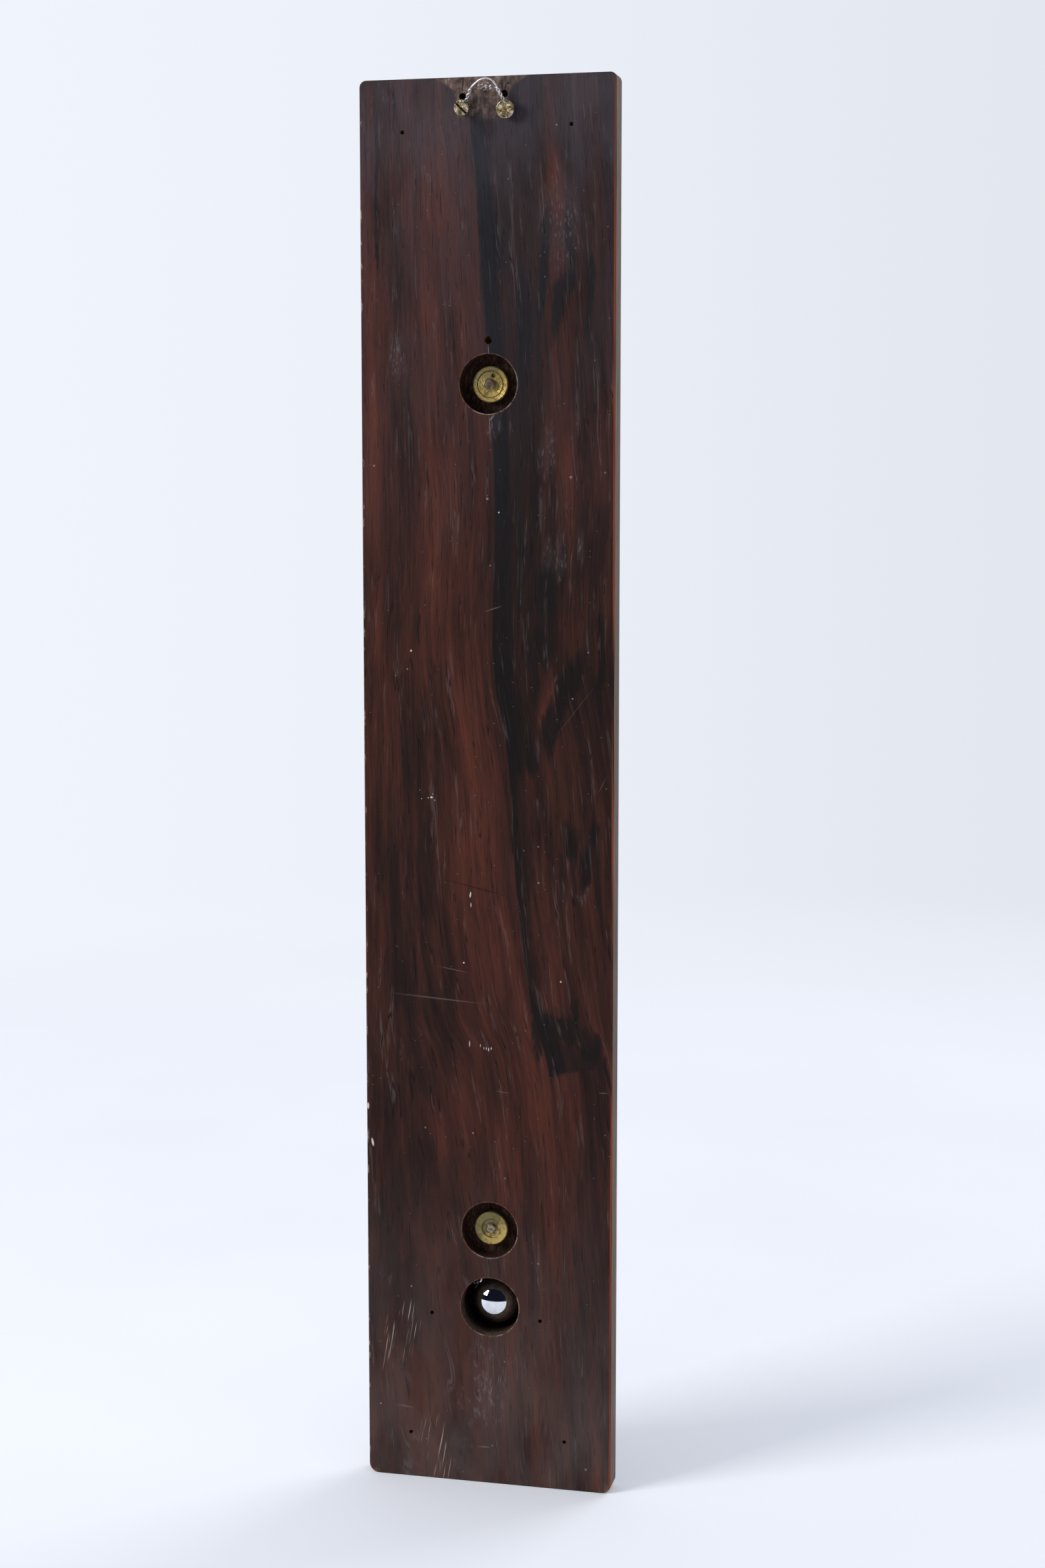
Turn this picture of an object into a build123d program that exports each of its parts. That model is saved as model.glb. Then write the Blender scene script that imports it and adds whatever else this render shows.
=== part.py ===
from build123d import *
import os
from math import atan2, cos, degrees, radians, sin

# A wall-hung storm glass with a thermometer beside it, both carried on one rosewood board.
# Lengths are in millimetres. X runs to the right seen from the front, the front faces -Y,
# Z is up, and the origin is the centre of the board's back face.
# Heights are counted up from the board's bottom edge, and level() turns one into a Z.

# Board
board_width = 84.0
board_height = 463.0
board_thickness = 8.5
board_top_corner = 2.2
board_bottom_corner = 3.4
board_arris = 0.45

# Things bored or fixed on the board's middle line
middle_x = -0.4
recess_radius = 9.525
stud_radius = 1.7
upper_stud_height = 366.9
upper_recess_depth = 6.3
upper_stud_end = 1.2
lower_stud_height = 87.9
lower_recess_depth = 5.5
lower_stud_end = 1.7
steady_pin_height = 380.8
steady_pin_radius = 1.275
steady_pin_end = 5.0
bulb_height = 61.4
bulb_hole_radius = 10.0

# Nuts and the washers hidden under them
nut_thickness = 2.5
nut_chamfer = 0.3
stud_chamfer = 0.35
upper_nut_radius = 5.8
lower_nut_radius = 5.65
washer_radius = 5.0
washer_thickness = 0.8
spanner_hole_radius = 0.7
spanner_hole_depth = 1.2
spanner_hole_x = 1.0
spanner_hole_rise = 2.8
ring_radius = 4.35
ring_width = 0.3
ring_depth = 0.2
dish_radius = 3.3
dish_depth = 0.4
dish_taper = 40

# Hanger: two slotted screws that droop, and the wire twisted round them
screw_droop = 15.0
screw_shank_radius = 1.35
screw_head_height = 1.6
screw_depth = 6.2
screw_point = 0.9
screw_crown = 0.45
head_lift = 2.5
screw_slot_width = 0.75
screw_slot_depth = 0.8
left_screw_x = -6.9
left_screw_height = 453.06
left_screw_lean = 0.0
left_head_radius = 2.9
left_slot_turn = 20.0
right_screw_x = 6.96
right_screw_height = 453.91
right_screw_lean = 6.0
right_head_radius = 2.5
right_slot_turn = -45.0
old_hole_radius = 1.18
old_hole_depth = 5.0
old_holes = [(7.8, 456.84), (-5.8, 457.33)]
wire_radius = 0.275
twist_radius = 0.5
eye_radius = 1.825
eye_lift = 1.5

# The wire's route, as distances along the line through its eyes and up from it
left_foot = (-5.75, 1.55)
left_knuckle = (-4.05, 5.6)
arch_points = [(-2.9, 8.2), (-0.4, 9.45), (2.1, 8.3)]
arch_bends = [1.6, 1.8, 1.8]
right_knuckle = (4.55, 5.9)
right_foot = (6.1, 1.6)

# Round-headed brass pins
pin_radius = 0.65
pin_head_radius = 1.5
pin_head_height = 0.9
pin_crown = 0.7
pin_end = 2.5
right_scale_pins = [(27.75, 446.45), (27.17, 15.59)]
left_scale_pins = [(-27.52, 447.38), (-26.02, 16.71)]
cover_pin_places = [(19.61, 57.98), (-17.70, 57.88)]

# Scale strips
strip_width = 10.0
strip_thickness = 1.0
strip_bottom = 11.5
strip_top = 451.5
strip_corner = 2.5
right_strip_x = 27.5
left_strip_x = -26.8

# Storm glass tube, on an upright axis in front of the board
tube_y = -23.0
tube_radius = 9.0
tube_bore = 7.5
tube_bottom = 84.0
tube_top = 382.0
solution_top = 352.0
crystal_profile = [(7.5, 116.0), (5.4, 127.0), (3.6, 121.0), (1.7, 139.0), (0.0, 146.0)]
cork_bottom = 371.0
cork_top = 385.0
cork_head_radius = 8.8

# Screwed cap, its ferrule and its washer
ferrule_radius = 10.2
ferrule_bottom = 374.0
ferrule_top = 384.0
ferrule_chamfer = 0.3
cap_clearance = 0.08
cap_radius = 11.6
cap_bottom = 378.5
cap_ceiling = 386.0
cap_washer_radius = 9.8
cap_shoulder = 386.6
cap_waist_radius = 1.7
cap_waist_height = 390.6
finial_radius = 2.9
finial_height = 393.6
flute_count = 36
flute_radius = 0.45
flute_length = 5.4
flute_height = 382.4

# Brackets
flange_thickness = 2.0
upper_flange_width = 20.0
upper_flange_length = 30.0
upper_flange_height = 371.0
flange_chamfer = 0.4
neck_radius = 5.0
neck_length = 2.0
stud_socket = 3.7
collar_height = 10.0
collar_bore = 10.0
collar_radius = 12.5
strap_radius = 11.8
ear_reach = 17.4
ear_thickness = 2.2
ear_corner = 2.4
strap_thickness = 1.8
clamp_gap = 0.2
ear_screw_x = 14.9
ear_screw_radius = 1.1
ear_screw_head_radius = 2.0
ear_screw_head_height = 1.3
ear_screw_slot = 0.5
running_clearance = 0.06
seat_clearance = 0.02
lower_flange_radius = 8.8
cup_bottom = 81.0
cup_floor = 83.0
cup_top = 101.0
cup_radius = 12.0
cup_rim_radius = 12.8
pad_top = 87.5
pad_dish_radius = 10.5
pad_gap = 0.03
cup_foot = 4.0
cup_rim_height = 1.6
cup_rim_cove = 0.8

# Thermometer
bulb_radius = 8.9
bulb_wall = 0.35
stem_radius = 2.5
stem_bore = 0.35
stem_x = 19.0
stem_y = -11.2
stem_bend = 8.0
stem_turn_height = 74.0
stem_top = 340.0
bore_top = 334.0
mercury_top = 198.0
staple_heights = [118.0, 214.0, 310.0]
staple_wire = 0.4
staple_gap = 0.05
staple_bite = 3.5

# Turned cover over the bulb
cover_x = 0.95
cover_height = 57.93
cover_flange_radius = 20.8
cover_flange_thickness = 2.0
cover_dome_radius = 15.5
cover_dome_height = 18.0
cover_hollow_radius = 13.5
cover_hollow_height = 15.5
notch_width = 5.4
notch_depth = 5.4
notch_length = 28.5
cover_rim = 0.5
cover_quirk = 1.0


def level(height):
    """Z of a height counted up from the board's bottom edge."""
    return height - board_height / 2


def facing_front(x, height, y):
    """A plane parallel to the board whose normal leaves the front."""
    return Plane(origin=(x, y, level(height)), x_dir=(1, 0, 0), z_dir=(0, -1, 0))


def facing_back(x, height, y=0.0):
    """A plane parallel to the board whose normal leaves the back."""
    return Plane(origin=(x, y, level(height)), x_dir=(-1, 0, 0), z_dir=(0, 1, 0))


def facing_up(height):
    """A level plane centred on the storm glass tube."""
    return Plane(origin=(middle_x, tube_y, level(height)))


def screw_seat(x, height, lean=0.0):
    """The plane where a drooping screw enters the back face, with its normal along the screw."""
    droop = radians(screw_droop)
    side = radians(lean)
    along = (sin(side), cos(side) * cos(droop), -cos(side) * sin(droop))
    return Plane(origin=(x, 0, level(height)), x_dir=(1, 0, 0), z_dir=along)


def finish(piece, name):
    """Label a finished piece and write its STEP file."""
    piece.label = name
    export_step(piece, f"parts/{name}.step")


os.makedirs("parts", exist_ok=True)
board_front = -board_thickness
flange_front = board_front - flange_thickness
tube_section = Plane(origin=(middle_x, tube_y, level(0)), x_dir=(1, 0, 0), z_dir=(0, -1, 0))
tube_axis = Axis((middle_x, tube_y, 0), (0, 0, 1))
left_seat = screw_seat(left_screw_x, left_screw_height, left_screw_lean)
right_seat = screw_seat(right_screw_x, right_screw_height, right_screw_lean)
scale_pin_places = right_scale_pins + left_scale_pins
bow_radius = stem_radius + staple_gap + staple_wire
staple_legs = [stem_x - bow_radius, stem_x + bow_radius]


# Backboard, with its recesses, pin holes and hanger holes
with BuildPart() as backboard:
    with BuildSketch(Plane.XZ) as board_outline:
        Rectangle(board_width, board_height)
        fillet(board_outline.vertices().group_by(Axis.Y)[-1], board_top_corner)
        fillet(board_outline.vertices().group_by(Axis.Y)[0], board_bottom_corner)
    extrude(amount=board_thickness)
    fillet(backboard.faces().sort_by(Axis.Y)[-1].edges(), board_arris)
    fillet(backboard.faces().sort_by(Axis.Y)[0].edges(), board_arris)
    with Locations(facing_back(middle_x, upper_stud_height)):
        CounterBoreHole(stud_radius, recess_radius, upper_recess_depth)
    with Locations(facing_back(middle_x, lower_stud_height)):
        CounterBoreHole(stud_radius, recess_radius, lower_recess_depth)
    with Locations(facing_back(middle_x, bulb_height)):
        Hole(bulb_hole_radius)
    with Locations(facing_back(middle_x, steady_pin_height)):
        Hole(steady_pin_radius)
    with Locations([facing_back(x, height) for x, height in scale_pin_places + cover_pin_places]):
        Hole(pin_radius)
    with Locations([screw_seat(x, height).offset(1) for x, height in old_holes]):
        Hole(old_hole_radius, depth=old_hole_depth + 1)
    with Locations(left_seat.offset(1), right_seat.offset(1)):
        Hole(screw_shank_radius, depth=screw_depth + 1)
    with Locations([facing_front(x, height, board_front) for height in staple_heights for x in staple_legs]):
        Hole(staple_wire, depth=staple_bite)
finish(backboard.part, "backboard")


# Hanger screws
def make_hanger_screw(seat, head_radius, slot_turn):
    """A slotted cheese-headed wood screw that stands proud of the board."""
    with BuildPart() as screw:
        with BuildSketch(seat.offset(-screw_depth)):
            Circle(screw_shank_radius)
        extrude(amount=screw_depth + head_lift)
        chamfer(screw.edges().sort_by(Axis(seat.origin, seat.z_dir))[0], screw_point)
        with BuildSketch(seat.offset(head_lift)):
            Circle(head_radius)
        extrude(amount=screw_head_height)
        fillet(screw.edges().sort_by(Axis(seat.origin, seat.z_dir))[-1], screw_crown)
        with BuildSketch(seat.offset(head_lift + screw_head_height)):
            Rectangle(3 * head_radius, screw_slot_width, rotation=slot_turn)
        extrude(amount=-screw_slot_depth, mode=Mode.SUBTRACT)
    return screw.part


finish(make_hanger_screw(left_seat, left_head_radius, left_slot_turn), "hanger_screw_left")
finish(make_hanger_screw(right_seat, right_head_radius, right_slot_turn), "hanger_screw_right")


# Hanging wire: an eye round each screw, a twisted leg from each, and one arch between them
left_eye = left_seat.offset(eye_lift).origin
right_eye = right_seat.offset(eye_lift).origin
eye_line = right_eye - left_eye
half_span = eye_line.length / 2
wire_plane = Plane(origin=(left_eye + right_eye) / 2, x_dir=eye_line, z_dir=-left_seat.z_dir)
with BuildPart() as hanging_wire:
    with BuildLine(wire_plane) as arch_line:
        FilletPolyline(left_knuckle, *arch_points, right_knuckle, radius=arch_bends)
    with BuildSketch(Plane(origin=arch_line.line @ 0, z_dir=arch_line.line % 0)):
        Circle(wire_radius)
    sweep()
    for foot, knuckle in [(left_foot, left_knuckle), (right_foot, right_knuckle)]:
        with BuildLine(wire_plane) as leg_line:
            Line(foot, knuckle)
        with BuildSketch(Plane(origin=leg_line.line @ 0, z_dir=leg_line.line % 0)):
            Circle(twist_radius)
        sweep(path=leg_line.line)
        with Locations(wire_plane * Location((*knuckle, 0))):
            Sphere(twist_radius)
    with Locations([wire_plane * Location((side * half_span, 0, 0)) for side in (-1, 1)]):
        Torus(eye_radius, wire_radius)
finish(hanging_wire.part, "hanging_wire")
print("wire hinge through", (left_eye + right_eye) / 2, "along", eye_line.normalized())


# Studs that hold the two brackets, with their nuts and washers in the recesses
def make_stud(height, end_depth):
    """A stud from its socket in a bracket to end_depth below the back face."""
    stud_front = board_front - stud_socket
    with BuildPart() as stud:
        with BuildSketch(facing_back(middle_x, height, stud_front)):
            Circle(stud_radius)
        extrude(amount=-stud_front - end_depth)
        chamfer(stud.edges().sort_by(Axis.Y)[-1], stud_chamfer)
    return stud.part


def make_washer(height, floor_depth):
    """A plain washer on a recess floor."""
    with BuildPart() as washer:
        with BuildSketch(facing_back(middle_x, height, -floor_depth)):
            Circle(washer_radius)
            Circle(stud_radius, mode=Mode.SUBTRACT)
        extrude(amount=washer_thickness)
    return washer.part


def make_nut(height, floor_depth, radius):
    """A round nut with a chamfered edge, seated on its washer."""
    with BuildPart() as nut:
        with BuildSketch(facing_back(middle_x, height, washer_thickness - floor_depth)):
            Circle(radius)
        extrude(amount=nut_thickness)
        chamfer(nut.edges().sort_by(Axis.Y)[-1], nut_chamfer)
        with Locations(facing_back(middle_x, height)):
            Hole(stud_radius)
    return nut.part


finish(make_stud(upper_stud_height, upper_stud_end), "upper_stud")
finish(make_stud(lower_stud_height, lower_stud_end), "lower_stud")
finish(make_washer(upper_stud_height, upper_recess_depth), "upper_washer")
finish(make_washer(lower_stud_height, lower_recess_depth), "lower_washer")

# The upper nut has a turned ring and one blind hole for a pin spanner
upper_nut_face = washer_thickness + nut_thickness - upper_recess_depth
with BuildPart() as upper_nut:
    add(make_nut(upper_stud_height, upper_recess_depth, upper_nut_radius))
    with BuildSketch(facing_back(middle_x, upper_stud_height, upper_nut_face)):
        Circle(ring_radius)
        Circle(ring_radius - ring_width, mode=Mode.SUBTRACT)
    extrude(amount=-ring_depth, mode=Mode.SUBTRACT)
    spanner_hole_height = upper_stud_height + spanner_hole_rise
    with Locations(facing_back(middle_x - spanner_hole_x, spanner_hole_height, upper_nut_face)):
        Hole(spanner_hole_radius, depth=spanner_hole_depth)
finish(upper_nut.part, "upper_nut")

# The lower nut is dished round its stud
lower_nut_face = washer_thickness + nut_thickness - lower_recess_depth
with BuildPart() as lower_nut:
    add(make_nut(lower_stud_height, lower_recess_depth, lower_nut_radius))
    with BuildSketch(facing_back(middle_x, lower_stud_height, lower_nut_face)):
        Circle(dish_radius)
    extrude(amount=-dish_depth, taper=dish_taper, mode=Mode.SUBTRACT)
finish(lower_nut.part, "lower_nut")

with BuildPart() as steady_pin:
    with BuildSketch(facing_back(middle_x, steady_pin_height, flange_front)):
        Circle(steady_pin_radius)
    extrude(amount=-flange_front - steady_pin_end)
finish(steady_pin.part, "steady_pin")


# Upper bracket: flange, neck and the back half of a split collar
def half_collar(radius, thickness, side):
    """One half of the collar with its two ears; side is 1 at the board and -1 at the front."""
    with BuildPart() as half:
        with BuildSketch(facing_up(upper_stud_height - collar_height / 2)):
            Circle(radius)
            with Locations((0, side * (clamp_gap + thickness) / 2)):
                Rectangle(2 * ear_reach, clamp_gap + thickness)
            Circle(collar_bore, mode=Mode.SUBTRACT)
            with Locations((0, side * (clamp_gap - radius))):
                Rectangle(2 * ear_reach, 2 * radius, mode=Mode.SUBTRACT)
        extrude(amount=collar_height)
        ear_corners = half.edges().filter_by(Axis.Y).group_by(Axis.X)
        fillet(ear_corners[0] + ear_corners[-1], ear_corner)
        with Locations([facing_back(x, upper_stud_height, tube_y) for x in ear_screw_places]):
            Hole(ear_screw_radius)
    return half.part


def neck(height):
    """The short round neck between a flange and the part it carries."""
    with BuildPart() as post:
        with BuildSketch(facing_front(middle_x, height, flange_front)):
            Circle(neck_radius)
        extrude(amount=neck_length)
    return post.part


ear_screw_places = [middle_x - ear_screw_x, middle_x + ear_screw_x]
with BuildPart() as upper_bracket:
    with BuildSketch(facing_front(middle_x, upper_flange_height, board_front)):
        SlotOverall(upper_flange_length, upper_flange_width, rotation=90)
    extrude(amount=flange_thickness)
    chamfer(upper_bracket.faces().sort_by(Axis.Y)[0].edges(), flange_chamfer)
    add(half_collar(collar_radius, ear_thickness, 1))
    add(neck(upper_stud_height))
    with Locations(facing_back(middle_x, upper_stud_height, board_front)):
        Hole(stud_radius, depth=stud_socket)
    with Locations(facing_front(middle_x, steady_pin_height, flange_front)):
        Hole(steady_pin_radius, depth=flange_thickness)
finish(upper_bracket.part, "upper_bracket")

finish(half_collar(strap_radius, strap_thickness, -1), "collar_strap")

# Two cheese-headed screws clamp the strap to the bracket's ears
strap_front = tube_y - clamp_gap - strap_thickness
with BuildPart() as strap_screws:
    for x in ear_screw_places:
        with BuildSketch(facing_front(x, upper_stud_height, tube_y + clamp_gap + ear_thickness)):
            Circle(ear_screw_radius)
        extrude(amount=2 * clamp_gap + ear_thickness + strap_thickness)
        with BuildSketch(facing_front(x, upper_stud_height, strap_front)):
            Circle(ear_screw_head_radius)
        extrude(amount=ear_screw_head_height)
        with BuildSketch(facing_front(x, upper_stud_height, strap_front - ear_screw_head_height)):
            Rectangle(3 * ear_screw_head_radius, ear_screw_slot, rotation=30)
        extrude(amount=-ear_screw_slot, mode=Mode.SUBTRACT)
finish(strap_screws.part, "strap_screws")

# A cork sleeve lines the collar, and the tube can turn in it
with BuildPart() as collar_liner:
    with BuildSketch(facing_up(upper_stud_height - collar_height / 2)):
        Circle(collar_bore - seat_clearance)
        Circle(tube_radius + running_clearance, mode=Mode.SUBTRACT)
    extrude(amount=collar_height)
finish(collar_liner.part, "collar_liner")


# Lower bracket: a round flange and a neck carry a turned cup
cup_bore = tube_radius + running_clearance
with BuildPart() as lower_bracket:
    with BuildSketch(facing_front(middle_x, lower_stud_height, board_front)):
        Circle(lower_flange_radius)
    extrude(amount=flange_thickness)
    chamfer(lower_bracket.faces().sort_by(Axis.Y)[0].edges(), flange_chamfer)
    with BuildSketch(tube_section):
        with BuildLine():
            Polyline(
                (0, cup_floor),
                (0, cup_bottom),
                (cup_radius - cup_foot, cup_bottom),
                (cup_radius, cup_bottom + cup_foot),
                (cup_radius, cup_top - cup_rim_height - cup_rim_cove),
                (cup_rim_radius, cup_top - cup_rim_height),
                (cup_rim_radius, cup_top),
                (cup_bore, cup_top),
                (cup_bore, cup_floor),
                close=True,
            )
        make_face()
    revolve(axis=tube_axis)
    add(neck(lower_stud_height))
    with Locations(facing_back(middle_x, lower_stud_height, board_front)):
        Hole(stud_radius, depth=stud_socket)
finish(lower_bracket.part, "lower_bracket")

# The tube's rounded end stands in a dished cork pad
with BuildPart() as cup_pad:
    with BuildSketch(facing_up(cup_floor)):
        Circle(cup_bore - seat_clearance)
    extrude(amount=pad_top - cup_floor)
    with Locations(facing_up(tube_bottom - pad_gap + pad_dish_radius)):
        Sphere(pad_dish_radius, mode=Mode.SUBTRACT)
finish(cup_pad.part, "cup_pad")


# Scale strips, one each side of the tube, and the pins that hold them
def make_strip(x, pins):
    """A thin plate with rounded corners and a pin hole near each end."""
    with BuildPart() as strip:
        with BuildSketch(facing_front(x, (strip_top + strip_bottom) / 2, board_front)):
            RectangleRounded(strip_width, strip_top - strip_bottom, strip_corner)
        extrude(amount=strip_thickness)
        with Locations([facing_front(pin_x, pin_height, board_front) for pin_x, pin_height in pins]):
            Hole(pin_radius)
    return strip.part


def make_pins(places, seat):
    """Round-headed pins driven in from the front, each head bearing at the depth seat."""
    with BuildPart() as pins:
        with BuildSketch(*[facing_front(x, height, seat) for x, height in places]):
            Circle(pin_head_radius)
        extrude(amount=pin_head_height)
        fillet(pins.edges().group_by(Axis.Y)[0], pin_crown)
        with BuildSketch(*[facing_back(x, height, seat) for x, height in places]):
            Circle(pin_radius)
        extrude(amount=-seat - pin_end)
    return pins.part


finish(make_strip(right_strip_x, right_scale_pins), "thermometer_scale")
finish(make_strip(left_strip_x, left_scale_pins), "storm_scale")
finish(make_pins(scale_pin_places, board_front - strip_thickness), "scale_pins")


# Turned cover over the thermometer's bulb, with a notch that lets the stem out
cover_section = Plane(origin=(cover_x, board_front, level(cover_height)))
cover_axis = Axis(cover_section.origin, (0, 1, 0))
notch_turn = degrees(atan2(stem_turn_height - bulb_height, stem_x - middle_x))
dome_base = cover_flange_thickness + cover_quirk
with BuildPart() as bulb_cover:
    with BuildSketch(cover_section):
        with BuildLine():
            Polyline(
                (cover_hollow_radius, -cover_flange_thickness),
                (cover_hollow_radius, 0),
                (cover_flange_radius, 0),
                (cover_flange_radius, cover_rim - cover_flange_thickness),
                (cover_flange_radius - cover_rim, -cover_flange_thickness),
                (cover_dome_radius + cover_quirk, -cover_flange_thickness),
                (cover_dome_radius, -dome_base),
            )
            TangentArc((0, -cover_dome_height), (cover_dome_radius, -dome_base), tangent=(1, 0))
            Line((0, -cover_dome_height), (0, -cover_hollow_height))
            TangentArc(
                (0, -cover_hollow_height), (cover_hollow_radius, -cover_flange_thickness), tangent=(1, 0)
            )
        make_face()
    revolve(axis=cover_axis)
    with BuildSketch(facing_front(middle_x, bulb_height, board_front)):
        with Locations(Location((0, 0), notch_turn) * Location((notch_length / 2, 0))):
            Rectangle(notch_length, notch_width)
    extrude(amount=notch_depth, mode=Mode.SUBTRACT)
    with Locations([facing_front(x, height, flange_front) for x, height in cover_pin_places]):
        Hole(pin_radius, depth=cover_flange_thickness)
finish(bulb_cover.part, "bulb_cover")
finish(make_pins(cover_pin_places, board_front - cover_flange_thickness), "cover_pins")


# Thermometer: the bulb sinks into the board's hole, and the stem leans out to the right and turns up
bulb_place = Location((middle_x, stem_y, level(bulb_height)))


def stem_route(top):
    """Corners of the stem's centre line, from the bulb's centre up to a height."""
    turn = (stem_x, stem_y, level(stem_turn_height))
    return [bulb_place.position, turn, (stem_x, stem_y, level(top))]


def stem_rod(radius, top):
    """A round rod along the stem's centre line."""
    with BuildPart() as rod:
        with BuildLine() as centre_line:
            FilletPolyline(*stem_route(top), radius=stem_bend)
        with BuildSketch(Plane(origin=centre_line.line @ 0, z_dir=centre_line.line % 0)):
            Circle(radius)
        sweep(path=centre_line.line)
    return rod.part


with BuildPart() as thermometer_tube:
    add(stem_rod(stem_radius, stem_top))
    with Locations((stem_x, stem_y, level(stem_top))):
        Sphere(stem_radius)
    with Locations(bulb_place):
        Sphere(bulb_radius)
        Sphere(bulb_radius - bulb_wall, mode=Mode.SUBTRACT)
    add(stem_rod(stem_bore, bore_top), mode=Mode.SUBTRACT)
finish(thermometer_tube.part, "thermometer_tube")

with BuildPart() as mercury:
    add(stem_rod(stem_bore, mercury_top))
    with Locations(bulb_place):
        Sphere(bulb_radius - bulb_wall)
finish(mercury.part, "mercury")

# Wire staples hold the stem to the board
staple_end = board_front + staple_bite - stem_y
with BuildPart() as stem_staples:
    for height in staple_heights:
        with BuildLine(Plane(origin=(stem_x, stem_y, level(height)))) as bow:
            Line((-bow_radius, staple_end), (-bow_radius, 0))
            ThreePointArc((-bow_radius, 0), (0, -bow_radius), (bow_radius, 0))
            Line((bow_radius, 0), (bow_radius, staple_end))
        with BuildSketch(Plane(origin=bow.line @ 0, z_dir=bow.line % 0)):
            Circle(staple_wire)
        sweep(path=bow.line)
finish(stem_staples.part, "stem_staples")


# Storm glass: the sealed tube, the solution, its crystals and the cork
def round_end(radius):
    """The quarter circle of the tube's rounded end, on the tube's section plane."""
    return CenterArc((0, tube_bottom + tube_radius), radius, -90, 90)


end_height = tube_bottom + tube_radius
with BuildPart() as storm_tube:
    with BuildSketch(tube_section):
        with BuildLine():
            round_end(tube_radius)
            Polyline(
                (tube_radius, end_height),
                (tube_radius, tube_top),
                (tube_bore, tube_top),
                (tube_bore, end_height),
            )
            round_end(tube_bore)
            Line((0, end_height - tube_bore), (0, tube_bottom))
        make_face()
    revolve(axis=tube_axis)
finish(storm_tube.part, "storm_tube")

with BuildPart() as camphor_crystals:
    with BuildSketch(tube_section):
        with BuildLine():
            round_end(tube_bore)
            Polyline((tube_bore, end_height), *crystal_profile, (0, end_height - tube_bore))
        make_face()
    revolve(axis=tube_axis)
finish(camphor_crystals.part, "camphor_crystals")

with BuildPart() as storm_solution:
    with BuildSketch(tube_section):
        with BuildLine():
            Polyline(*crystal_profile, (0, solution_top), (tube_bore, solution_top), close=True)
        make_face()
    revolve(axis=tube_axis)
finish(storm_solution.part, "storm_solution")

with BuildPart() as tube_cork:
    with BuildSketch(facing_up(cork_bottom)):
        Circle(tube_bore)
    extrude(amount=cork_top - cork_bottom)
    with BuildSketch(facing_up(tube_top)):
        Circle(cork_head_radius)
    extrude(amount=cork_top - tube_top)
finish(tube_cork.part, "tube_cork")

# A ferrule cemented round the tube's mouth takes the screwed cap
with BuildPart() as tube_ferrule:
    with BuildSketch(facing_up(ferrule_bottom)):
        Circle(ferrule_radius)
        Circle(tube_radius + seat_clearance, mode=Mode.SUBTRACT)
    extrude(amount=ferrule_top - ferrule_bottom)
    chamfer(tube_ferrule.edges().filter_by(GeomType.CIRCLE).sort_by(SortBy.RADIUS)[-2:], ferrule_chamfer)
finish(tube_ferrule.part, "tube_ferrule")

with BuildPart() as cap_washer:
    with BuildSketch(facing_up(cork_top)):
        Circle(cap_washer_radius)
    extrude(amount=cap_ceiling - cork_top)
finish(cap_washer.part, "cap_washer")

cap_bore = ferrule_radius + cap_clearance
with BuildPart() as tube_cap:
    with BuildSketch(tube_section):
        with BuildLine():
            Polyline(
                (cap_waist_radius, cap_waist_height),
                (cap_waist_radius, finial_height),
                (0, finial_height),
                (0, cap_ceiling),
                (cap_bore, cap_ceiling),
                (cap_bore, cap_bottom),
                (cap_radius, cap_bottom),
                (cap_radius, cap_shoulder),
            )
            TangentArc((cap_waist_radius, cap_waist_height), (cap_radius, cap_shoulder), tangent=(1, 0))
        make_face()
    revolve(axis=tube_axis)
    with Locations(facing_up(finial_height)):
        Sphere(finial_radius)
    with Locations(facing_up(flute_height)):
        with PolarLocations(cap_radius, flute_count):
            Cylinder(flute_radius, flute_length, mode=Mode.SUBTRACT)
finish(tube_cap.part, "tube_cap")
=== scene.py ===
"""The looks of the storm glass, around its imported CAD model."""

import math
import random

import bmesh
import bpy
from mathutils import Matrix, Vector


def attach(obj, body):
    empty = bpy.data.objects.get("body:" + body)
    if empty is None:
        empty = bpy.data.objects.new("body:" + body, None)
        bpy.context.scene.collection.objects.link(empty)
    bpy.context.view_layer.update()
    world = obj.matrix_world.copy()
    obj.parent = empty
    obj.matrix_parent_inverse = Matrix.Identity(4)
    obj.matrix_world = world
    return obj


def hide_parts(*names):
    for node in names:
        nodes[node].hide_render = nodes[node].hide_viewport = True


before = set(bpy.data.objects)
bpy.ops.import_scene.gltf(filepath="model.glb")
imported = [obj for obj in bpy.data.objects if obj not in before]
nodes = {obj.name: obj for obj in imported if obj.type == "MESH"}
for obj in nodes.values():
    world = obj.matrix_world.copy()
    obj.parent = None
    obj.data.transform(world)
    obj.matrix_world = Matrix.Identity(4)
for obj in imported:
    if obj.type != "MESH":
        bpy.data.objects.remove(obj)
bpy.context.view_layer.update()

# ---- sizes, in millimetres
MM = 0.001
BOARD_HEIGHT = 463
BOARD_THICKNESS = 8.5
MIDDLE_X = -0.4

RECESS_RADIUS = 9.525
UPPER_RECESS_HEIGHT = 366.9
UPPER_RECESS_DEPTH = 6.3
LOWER_RECESS_HEIGHT = 87.9
LOWER_RECESS_DEPTH = 5.5
BULB_HOLE_HEIGHT = 61.4
BULB_HOLE_RADIUS = 10
STEADY_PIN_HEIGHT = 380.8

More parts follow.
